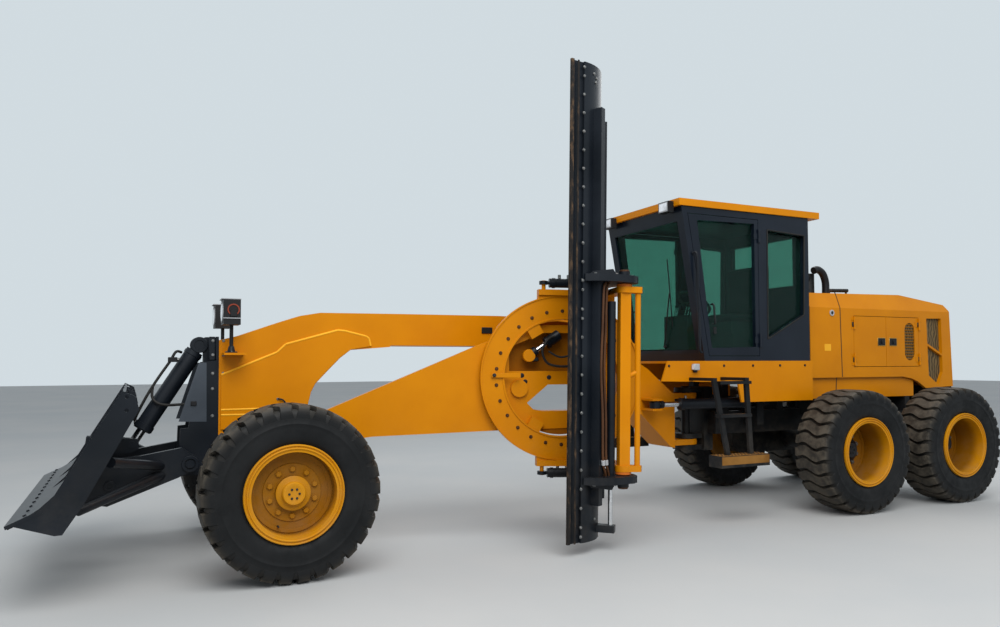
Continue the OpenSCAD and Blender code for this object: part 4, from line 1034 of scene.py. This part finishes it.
def dressMast():
    m = mast
    trim = Shape("mastTrim", "front_frame")
    trim.look("blackCoat")
    low, high = m["plateZ"]
    trim.slab((m["back"][0], -m["half"], low), (m["back"][1], m["half"], high), 0.003)
    for side in (1, -1):
        trim.lathe((m["topPin"][0], side * 0.0555, m["topPin"][1]), (0, side, 0), [
            (0, 0.066), (0.012, 0.066), (0.016, 0.062), (0.016, 0.040), (0.010, 0.038), (0.010, 0.004)], 40)
        trim.slab((3.700, side * 0.195 - 0.008, low), (3.745, side * 0.195 + 0.004, high), 0.003)
    # grey plates over the mast's black sides: a painted reflection of the sky
    trim.look("skyReflectionGrey")
    for side in (1, -1):
        trim.sidePlate(side, m["reflectingSide"], (m["half"], m["half"] + 0.002))
    trim.look("blackPlastic")
    trim.slab(*m["clamp"], 0.004)
    trim.done()
    groups = [([Vector((x, side * (m["half"] + 0.0003), z)) for x in m["boltX"] for z in m["boltZ"]],
               (0, side, 0)) for side in (1, -1)]
    bolts("mastBolts", "front_frame", 0.010, groups)
    caps = Shape("pushPins", "push_blade")
    caps.look("blackCoat")
    for side in (1, -1):
        caps.ring((m["foot"][0], side * m["armOut"], m["foot"][1]), (0, side, 0), 0.042, 0.064, 0.014, 40)
        caps.ring((m["linkPin"][0], side * m["armOut"], m["linkPin"][1]), (0, side, 0), 0.020, 0.040, 0.012,
                  28)
    caps.done()
    x, y, z = m["edgeFrom"]
    edgeRow = [Vector((x, y + m["edgePitch"] * i, z)) for i in range(m["edgeBolts"])]
    bolts("pushEdgeBolts", "push_blade", 0.010, [(edgeRow, (0.413, 0, 0.911))], "blackCoat")
    hoses = Shape("pushHoses", "push_barrel")
    hoses.look("hoseRubber")
    hoses.hose(m["ramHose"], m["hoseR"])
    hoses.look("blackPlastic")
    hoses.slab(*m["ramClamp"], 0.004)
    hoses.done()
    # the hose from the ram to the mast spans the two bodies and is carried by neither
    span = Shape("mastHose", None)
    span.look("hoseRubber")
    span.hose(m["spanHose"], m["hoseR"])
    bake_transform(span.done())
    print("mast dressed")


dressMast()

# Lamps: each headlamp has a lens to the front, a ringed one to the side, lips and a bolted foot
lamp = {"x": (3.530, 3.660), "y": (0.237, 0.423), "z": (1.880, 2.080), "foot": (3.590, 0.330, 1.6573),
        "lipZ": (1.926, 1.934), "roofY": (0.440, 0.580), "roofZ": (3.092, 3.188),
        "tailY": (0.425, 0.495), "redZ": (1.930, 2.022), "amberZ": (2.030, 2.090)}


def dressLamps():
    p = lamp
    for sideName, side in (("left", 1), ("right", -1)):
        trim = Shape("headlampTrim_" + sideName, "front_frame")
        midX = sum(p["x"]) / 2
        midY = side * sum(p["y"]) / 2
        midZ = sum(p["z"]) / 2
        out = p["y"][1]
        trim.look("lampLens")
        trim.lathe((p["x"][1], midY, midZ), (1, 0, 0), [(0, 0.074), (0.005, 0.072), (0.009, 0.050),
                                                        (0.010, 0.004)])
        trim.look("greyPlastic")
        trim.ring((p["x"][1] - 0.001, midY, midZ), (1, 0, 0), 0.074, 0.084, 0.008)
        trim.sideSlab(side, (p["x"][0] - 0.004, p["x"][1] + 0.014), (out - 0.180, out + 0.003),
                      (p["z"][1], p["z"][1] + 0.008), 0.002)
        trim.sideSlab(side, (p["x"][0], p["x"][1] + 0.004), (out, out + 0.008), p["lipZ"], 0.002)
        trim.look("redRing")
        trim.ring((midX - 0.010, side * out, midZ + 0.018), (0, side, 0), 0.037, 0.047, 0.006)
        trim.look("blackPlastic")
        trim.sideSlab(side, (midX - 0.037, midX + 0.017), (out, out + 0.010),
                      (midZ - 0.036, midZ + 0.014), 0.003)
        trim.look("blackCoat")
        foot = Vector((p["foot"][0], side * p["foot"][1], p["foot"][2]))
        trim.lathe(foot, (0, 0, 1), [(0, 0.048), (0.008, 0.048), (0.012, 0.030), (0.050, 0.022),
                                     (0.055, 0.016)])
        trim.done()
    feet = [Vector((p["foot"][0], side * p["foot"][1], p["foot"][2] + 0.008)) + spot
            for side in (1, -1) for spot in circleOf(0.038, 4)]
    bolts("lampBolts", "front_frame", 0.006, [(feet, (0, 0, 1))])
    work = Shape("roofLampLenses", "rear_frame")
    for side in (1, -1):
        work.look("greyPlastic")
        work.sideSlab(side, (-0.540, -0.536), p["roofY"], p["roofZ"], 0.001)
        work.look("lampLens")
        work.sideSlab(side, (-0.536, -0.534), (p["roofY"][0] + 0.010, p["roofY"][1] - 0.010),
                      (p["roofZ"][0] + 0.010, p["roofZ"][1] - 0.010), 0.0008)
    work.done()
    skirt = Shape("skirtLamp", "rear_frame")
    skirt.look("blackCoat")
    skirt.slab((-0.815, 0.6603, 1.470), (-0.770, 0.678, 1.500), 0.003)
    skirt.look("greyPlastic")
    skirt.slab((-0.820, 0.664, 1.492), (-0.752, 0.712, 1.556), 0.006)
    skirt.look("lampLens")
    skirt.slab((-0.7525, 0.670, 1.500), (-0.7495, 0.706, 1.548), 0.001)
    skirt.done()
    tail = Shape("tailLamps", "rear_frame")
    for side in (1, -1):
        tail.look("redLens")
        tail.sideSlab(side, (-4.926, -4.912), p["tailY"], p["redZ"], 0.002)
        tail.look("amberLens")
        tail.sideSlab(side, (-4.922, -4.908), p["tailY"], p["amberZ"], 0.002)
    tail.done()
    print("lamps dressed")


dressLamps()

# Cab: rails, door handles, wiper, the rear side windows' seals and the skirt's bolts
cab = {"side": 0.660, "railY": 0.700, "railTop": (-0.806, 2.650), "railLow": (-0.832, 1.695), "railR": 0.013,
       "skirtBolts": (-0.476, -1.171, -1.559, -1.936, -2.296), "skirtZ": 1.536,
       "paneFoot": (-0.925, 1.585), "paneSlope": 0.178,
       "rearWindow": [(-1.781, 2.976), (-2.315, 2.948), (-2.295, 2.083), (-1.772, 1.816)]}


def frontPane(z, out):
    # how far forward the slanted windscreen's face is at a height, and out from it
    foot = cab["paneFoot"]
    return foot[0] + cab["paneSlope"] * (z - foot[1]) - 0.020 + out


def dressCab():
    c = cab
    rails = Shape("handRails", "rear_frame")
    rails.look("blackCoat")
    topX, topZ = c["railTop"]
    lowX, lowZ = c["railLow"]
    for side in (1, -1):
        wall = side * (c["side"] + 0.001)
        out = side * c["railY"]
        rails.hose([(topX + 0.03, wall, topZ + 0.02), (topX, out, topZ), (topX - 0.006, out, 2.35),
                    (lowX + 0.006, out, 2.00), (lowX, out, lowZ), (lowX - 0.05, wall, lowZ - 0.02)],
                   c["railR"])
    rails.done()
    for sideName, side in (("left", 1), ("right", -1)):
        door = Shape("doorTrim_" + sideName, "cab_door_" + sideName)
        door.look("blackPlastic")
        face = c["side"] + 0.0003
        out = side * (face + 0.040)
        door.hose([(-1.010, side * face, 2.160), (-1.012, out, 2.150), (-1.020, out, 2.060),
                   (-1.028, out, 1.970), (-1.030, side * face, 1.960)], 0.010)
        door.sideSlab(side, (-1.075, -1.035), (face, face + 0.010), (1.860, 1.930), 0.003)
        door.done()
    wiper = Shape("screenWiper", "rear_frame")
    wiper.look("blackPlastic")
    wiper.rod((frontPane(1.74, 0.002), 0.05, 1.740), (frontPane(1.74, 0.030), 0.05, 1.745), 0.020, 16)
    wiper.hose([(frontPane(1.745, 0.028), 0.05, 1.745), (frontPane(2.00, 0.035), 0.16, 2.00),
                (frontPane(2.30, 0.018), 0.26, 2.30)], 0.007, 8)
    wiper.hose([(frontPane(1.95, 0.012), 0.22, 1.95), (frontPane(2.30, 0.010), 0.26, 2.30),
                (frontPane(2.65, 0.012), 0.30, 2.65)], 0.006, 8)
    wiper.done()
    seals = Shape("windowSeals", "rear_frame")
    seals.look("hoseRubber")
    for side in (1, -1):
        corners = [(x, side * (c["side"] + 0.001), z) for x, z in c["rearWindow"]]
        for corner, following in zip(corners, corners[1:] + corners[:1]):
            seals.rod(corner, following, 0.008, 8)
    seals.done()
    groups = [([Vector((x, side * (c["side"] + 0.0003), c["skirtZ"])) for x in c["skirtBolts"]], (0, side, 0))
              for side in (1, -1)]
    bolts("skirtBolts", "rear_frame", 0.011, groups, "castIron")
    print("cab dressed")


dressCab()

# Seat: a crowned cushion and back, blown up as cloth from a slightly smaller block
seat = {"cushion": ((-2.115, -0.235, 2.025), (-1.650, 0.235, 2.095)),
        "back": ((-2.055, -0.225, 2.115), (-1.985, 0.225, 2.640)),
        "voxel": 0.012, "pressure": 4.0, "frames": 20, "cap": 0.020, "fill": 0.7}


def puffed(name, low, high):
    s = seat
    shape = Shape(name, "rear_frame")
    shape.look("seatCloth")
    shape.slab(low, high, 0.02)
    mesh = shape.toMesh()
    mesh.transform(home)
    pad = settle(name, mesh, "rear_frame", "seatCloth")
    remesh = pad.modifiers.new("even", "REMESH")
    remesh.mode = "VOXEL"
    remesh.voxel_size = s["voxel"]
    remesh.use_smooth_shade = True
    applied(pad)
    rest = [v.co.copy() for v in pad.data.vertices]
    cloth = pad.modifiers.new("air", "CLOTH")
    cloth.settings.use_pressure = True
    cloth.settings.uniform_pressure_force = s["pressure"]
    cloth.settings.effector_weights.gravity = 0.0
    cloth.point_cache.frame_start = 1
    cloth.point_cache.frame_end = s["frames"]
    for number in range(1, s["frames"] + 1):
        bpy.context.scene.frame_set(number)
    applied(pad)
    for vert, was in zip(pad.data.vertices, rest):
        moved = vert.co - was
        if moved.length > s["cap"]:
            vert.co = was + moved * (s["cap"] / moved.length)
    bpy.context.scene.frame_set(1)
    fine = pad.modifiers.new("fine", "SUBSURF")
    fine.levels = fine.render_levels = 1
    applied(pad)
    pad.data.materials.clear()
    pad.data.materials.append(looks["seatCloth"])


def applied(o):
    # the modifiers' result becomes the object's own mesh
    ready = o.evaluated_get(bpy.context.evaluated_depsgraph_get())
    done = bpy.data.meshes.new_from_object(ready)
    o.modifiers.clear()
    o.data = done


console = {"first": (-1.150, 0.070, 2.079), "step": (-0.012, 0.032), "levers": 4, "lean": (-0.030, 0, 0.105),
           "cluster": ((-1.245, -0.160, 2.0805), (-1.205, 0.160, 2.150))}


def dressInside():
    puffed("seatCushion", *seat["cushion"])
    puffed("seatBack", *seat["back"])
    c = console
    x, y, z = c["first"]
    desk = Shape("consoleLevers", "rear_frame")
    for side in (1, -1):
        for i in range(c["levers"]):
            foot = Vector((x + c["step"][0] * i, side * (y + c["step"][1] * i), z))
            tip = foot + Vector(c["lean"])
            desk.look("chromeRod")
            desk.rod(foot, tip, 0.004, 8)
            desk.look("blackPlastic")
            desk.lathe(tip, tip - foot, [(-0.004, 0.006), (0.008, 0.013), (0.022, 0.012), (0.030, 0.003)], 12)
    desk.look("blackPlastic")
    desk.slab(*c["cluster"], 0.006)
    desk.done()
    print("cab inside dressed")


dressInside()

# Hood: latches, louvre slats, hinge pads, cap, seams, window bar, rear slats and the air intake
hood = {"side": 0.520, "latches": (("hood_door_front", -3.680), ("hood_door_rear", -3.877)), "latchZ": 1.806,
        "hinges": ((-3.212, 2.003), (-3.222, 1.594), (-4.326, 2.018), (-4.336, 1.601)),
        "louvreX": -4.170, "louvreZ": (1.676, 1.950), "louvreR": 0.088, "slats": 13,
        "windowBar": [(-4.478, 1.800), (-4.478, 1.772), (-4.757, 1.640), (-4.757, 1.668)],
        "seam": [(-2.999, 2.188), (-3.011, 2.188), (-3.032, 1.400), (-3.020, 1.400)],
        "lowSeam": [(-2.972, 1.418), (-2.984, 1.418), (-2.966, 1.165), (-2.954, 1.165)],
        "barePlate": ((-2.852, 0.5203, 1.697), (-2.752, 0.5215, 1.774)), "cap": (-2.872, 0.5203, 2.128),
        "rearSlatX": (-4.925, -4.888), "rearSlatY": 0.398, "rearSlatZ": (1.475, 2.125), "rearSlats": 14,
        "intake": [(-2.893, 0.250, 2.640), (-2.960, 0.250, 2.655), (-3.040, 0.250, 2.610),
                   (-3.083, 0.250, 2.510), (-3.085, 0.250, 2.374)], "intakeR": 0.042}


def latch(name, body, x, side):
    # a framed plate with a paddle down its middle
    made = Shape(name, body)
    out = hood["side"]
    z = hood["latchZ"]
    for look, wide, tall, lift in (("goldFrame", 0.066, 0.049, 0.003), ("blackPlastic", 0.059, 0.042, 0.005)):
        made.look(look)
        made.sideSlab(side, (x - wide, x + wide), (out, out + lift), (z - tall, z + tall), 0.0015)
    made.sideSlab(side, (x - 0.007, x + 0.007), (out + 0.004, out + 0.016), (z - 0.024, z + 0.024), 0.003)
    made.done()


def louvre(name, body, side):
    # slats over mesh in a slot with round ends
    made = Shape(name, body)
    x, radius, out = hood["louvreX"], hood["louvreR"], hood["side"]
    low, high = hood["louvreZ"]
    halfTurn = [math.pi * i / 12 for i in range(13)]
    slot = [(x + radius * math.cos(t), high + radius * math.sin(t)) for t in halfTurn]
    slot += [(x - radius * math.cos(t), low - radius * math.sin(t)) for t in halfTurn]
    made.look("wovenMesh")
    made.sidePlate(side, slot, (out - 0.0145, out - 0.0135))
    # the slats take the rims' coat, and its painted shade for the dish darkens them
    made.look("rimCoat")
    for place in line((0, 0, low - radius + 0.018), (0, 0, high + radius - 0.018), hood["slats"]):
        past = max(low - place.z, place.z - high, 0)
        reach = math.sqrt(max(radius ** 2 - past ** 2, 0)) - 0.002
        made.sideSlab(side, (x - reach, x + reach), (out - 0.0135, out - 0.002),
                      (place.z - 0.007, place.z + 0.007), 0.002)
    made.done()


def dressHood():
    h = hood
    for sideName, side in (("left", 1), ("right", -1)):
        for body, x in h["latches"]:
            latch("latch_" + body + "_" + sideName, body + "_" + sideName, x, side)
        louvre("louvre_" + sideName, "hood_door_rear_" + sideName, side)
    trim = Shape("hoodTrim", "rear_frame")
    trim.look("labelYellowAndBeadHighlight")
    trim.slab(*h["barePlate"], 0.0004)
    trim.look("greyPlastic")
    trim.ring(h["cap"], (0, 1, 0), 0.020, 0.034, 0.010, 28)
    trim.look("blackPlastic")
    trim.lathe(h["cap"], (0, 1, 0), [(0, 0.021), (0.006, 0.020), (0.007, 0.004)], 28)
    for side in (1, -1):
        for x, z in h["hinges"]:
            trim.sideSlab(side, (x - 0.022, x + 0.022), (0.5201, 0.532), (z - 0.028, z + 0.028), 0.004)
    trim.look("yellowCoat")
    for side in (1, -1):
        trim.sidePlate(side, h["windowBar"], (0.468, 0.5195))
    trim.look("blackPlastic")
    for side in (1, -1):
        trim.sidePlate(side, h["seam"], (0.5201, 0.5206))
        trim.hose([(-3.005, side * 0.5185, 2.188), (-3.018, side * 0.4705, 2.290),
                   (-3.030, side * 0.4215, 2.394)], 0.006, 6)
        trim.sidePlate(side, h["lowSeam"], (0.4801, 0.4812))
    back, front = h["rearSlatX"]
    low, high = h["rearSlatZ"]
    for place in line((0, 0, low), (0, 0, high), h["rearSlats"]):
        trim.slab((back, -h["rearSlatY"], place.z - 0.007), (front, h["rearSlatY"], place.z + 0.007), 0.002)
    trim.hose(h["intake"], h["intakeR"], 16)
    trim.done()
    print("hood dressed")


dressHood()

# Steps: a dusty face and top, and raised studs, on the lowest step of each side
step = {"x": (-1.355, -0.766), "inner": 0.905, "face": 1.0803, "faceZ": (0.590, 0.668), "top": 0.674,
        "studY": (0.935, 0.990, 1.045), "studs": 14}


def dressSteps():
    s = step
    back, front = s["x"]
    faces = Shape("stepFaces", "rear_frame")
    faces.look("dustyStep")
    for side in (1, -1):
        faces.sideSlab(side, (back, front + 0.003), (s["face"], s["face"] + 0.003), s["faceZ"], 0.001)
        faces.sideSlab(side, (front + 0.0003, front + 0.003), (s["inner"], s["face"]), s["faceZ"], 0.001)
        faces.sideSlab(side, (back + 0.004, front - 0.004), (s["inner"] + 0.004, s["face"] - 0.004),
                       (s["top"], s["top"] + 0.0015), 0.0005)
    faces.done()
    stud = Shape("stepStud", None)
    stud.look("frameCoat")
    stud.ring((0, 0, 0), (0, 0, 1), 0.006, 0.012, 0.004, 10)
    places = []
    for side in (1, -1):
        for x in line((back + 0.03, 0, 0), (front - 0.03, 0, 0), s["studs"]):
            for y in s["studY"]:
                places.append((Vector((x.x, side * y, s["top"])), (0, 0, 0)))
    copies("stepStuds", "rear_frame", "frameCoat", stud, places)
    print("steps dressed")


dressSteps()

# Tandem cases: a ring of bolts round each axle, and a bolted middle cover
tandem = {"out": 0.7903, "hubCircle": 0.150, "hubBolts": 12, "coverR": 0.150, "coverOut": 0.016,
          "coverCircle": 0.125, "coverBolts": 8}


def dressTandem():
    t = tandem
    groups = []
    covers = Shape("tandemCovers", "rear_frame")
    covers.look("frameCoat")
    for side in (1, -1):
        places = []
        for x in (wheels["mid"], wheels["rear"]):
            places += [Vector((x + p.x, side * t["out"], wheels["radius"] + p.y))
                       for p in circleOf(t["hubCircle"], t["hubBolts"])]
        middle = (wheels["mid"] + wheels["rear"]) / 2
        r, proud = t["coverR"], t["coverOut"]
        covers.lathe((middle, side * t["out"], wheels["radius"]), (0, side, 0), [
            (0, r), (proud - 0.004, r), (proud, r - 0.005), (proud, 0.004)], 40)
        places += [Vector((middle + p.x, side * (t["out"] + proud), wheels["radius"] + p.y))
                   for p in circleOf(t["coverCircle"], t["coverBolts"])]
        groups.append((places, (0, side, 0)))
    covers.done()
    bolts("tandemBolts", "rear_frame", 0.012, groups)
    print("tandems dressed")


dressTandem()

# Studio: a pale grey floor, a flat backdrop, soft sky light and two panels (place, size, watts)
studio = {"floorSize": 120.0, "floorColour": rgba(0.40, 0.41, 0.41), "floorPale": rgba(0.44, 0.44, 0.43),
          "backColour": rgba(0.64, 0.71, 0.75), "skyColour": rgba(0.86, 0.93, 1.0), "skyStrength": 0.62,
          "panels": {"keyPanel": ((3.0, 7.0, 9.0), 9.0, 1250.0),
                     "fillPanel": ((-6.0, -4.0, 8.0), 8.0, 400.0)}}


def makeFloor():
    half = studio["floorSize"] / 2
    mesh = bpy.data.meshes.new("studioFloor")
    corners = [(-half, -half, 0), (half, -half, 0), (half, half, 0), (-half, half, 0)]
    mesh.from_pydata(corners, [], [(0, 1, 2, 3)])
    floor = bpy.data.objects.new("studioFloor", mesh)
    bpy.context.scene.collection.objects.link(floor)
    p = Paint("paleFloor")
    wash = p.noise(0.35, 4.0)
    mesh.materials.append(p.surface({
        "Base Color": p.blend(wash.between(0.3, 0.7), studio["floorColour"], studio["floorPale"]),
        "Roughness": 0.8}))


def makeSky():
    # what the camera, mirrors and panes see is the pale backdrop; the rest is soft sky light
    world = bpy.data.worlds.new("studioSky")
    world.use_nodes = True
    tree = world.node_tree
    tree.nodes.clear()
    out = tree.nodes.new("ShaderNodeOutputWorld")
    seen = tree.nodes.new("ShaderNodeBackground")
    lit = tree.nodes.new("ShaderNodeBackground")
    rays = tree.nodes.new("ShaderNodeLightPath")
    shown = tree.nodes.new("ShaderNodeMath")
    shownMore = tree.nodes.new("ShaderNodeMath")
    mix = tree.nodes.new("ShaderNodeMixShader")
    shown.operation = shownMore.operation = "MAXIMUM"
    seen.inputs["Color"].default_value = studio["backColour"]
    lit.inputs["Color"].default_value = studio["skyColour"]
    lit.inputs["Strength"].default_value = studio["skyStrength"]
    link = tree.links.new
    link(rays.outputs["Is Camera Ray"], shown.inputs[0])
    link(rays.outputs["Is Glossy Ray"], shown.inputs[1])
    link(shown.outputs[0], shownMore.inputs[0])
    link(rays.outputs["Is Transmission Ray"], shownMore.inputs[1])
    link(shownMore.outputs[0], mix.inputs[0])
    link(lit.outputs[0], mix.inputs[1])
    link(seen.outputs[0], mix.inputs[2])
    link(mix.outputs[0], out.inputs["Surface"])
    bpy.context.scene.world = world


def makePanels():
    for name, (place, size, power) in studio["panels"].items():
        data = bpy.data.lights.new(name, "AREA")
        data.size = size
        data.energy = power
        panel = bpy.data.objects.new(name, data)
        panel.location = place
        panel.rotation_euler = (Vector((0, 0, 0.8)) - Vector(place)).to_track_quat("-Z", "Y").to_euler()
        bpy.context.scene.collection.objects.link(panel)


makeFloor()
makeSky()
makePanels()
bpy.context.scene.view_settings.view_transform = "Standard"
print("studio made")
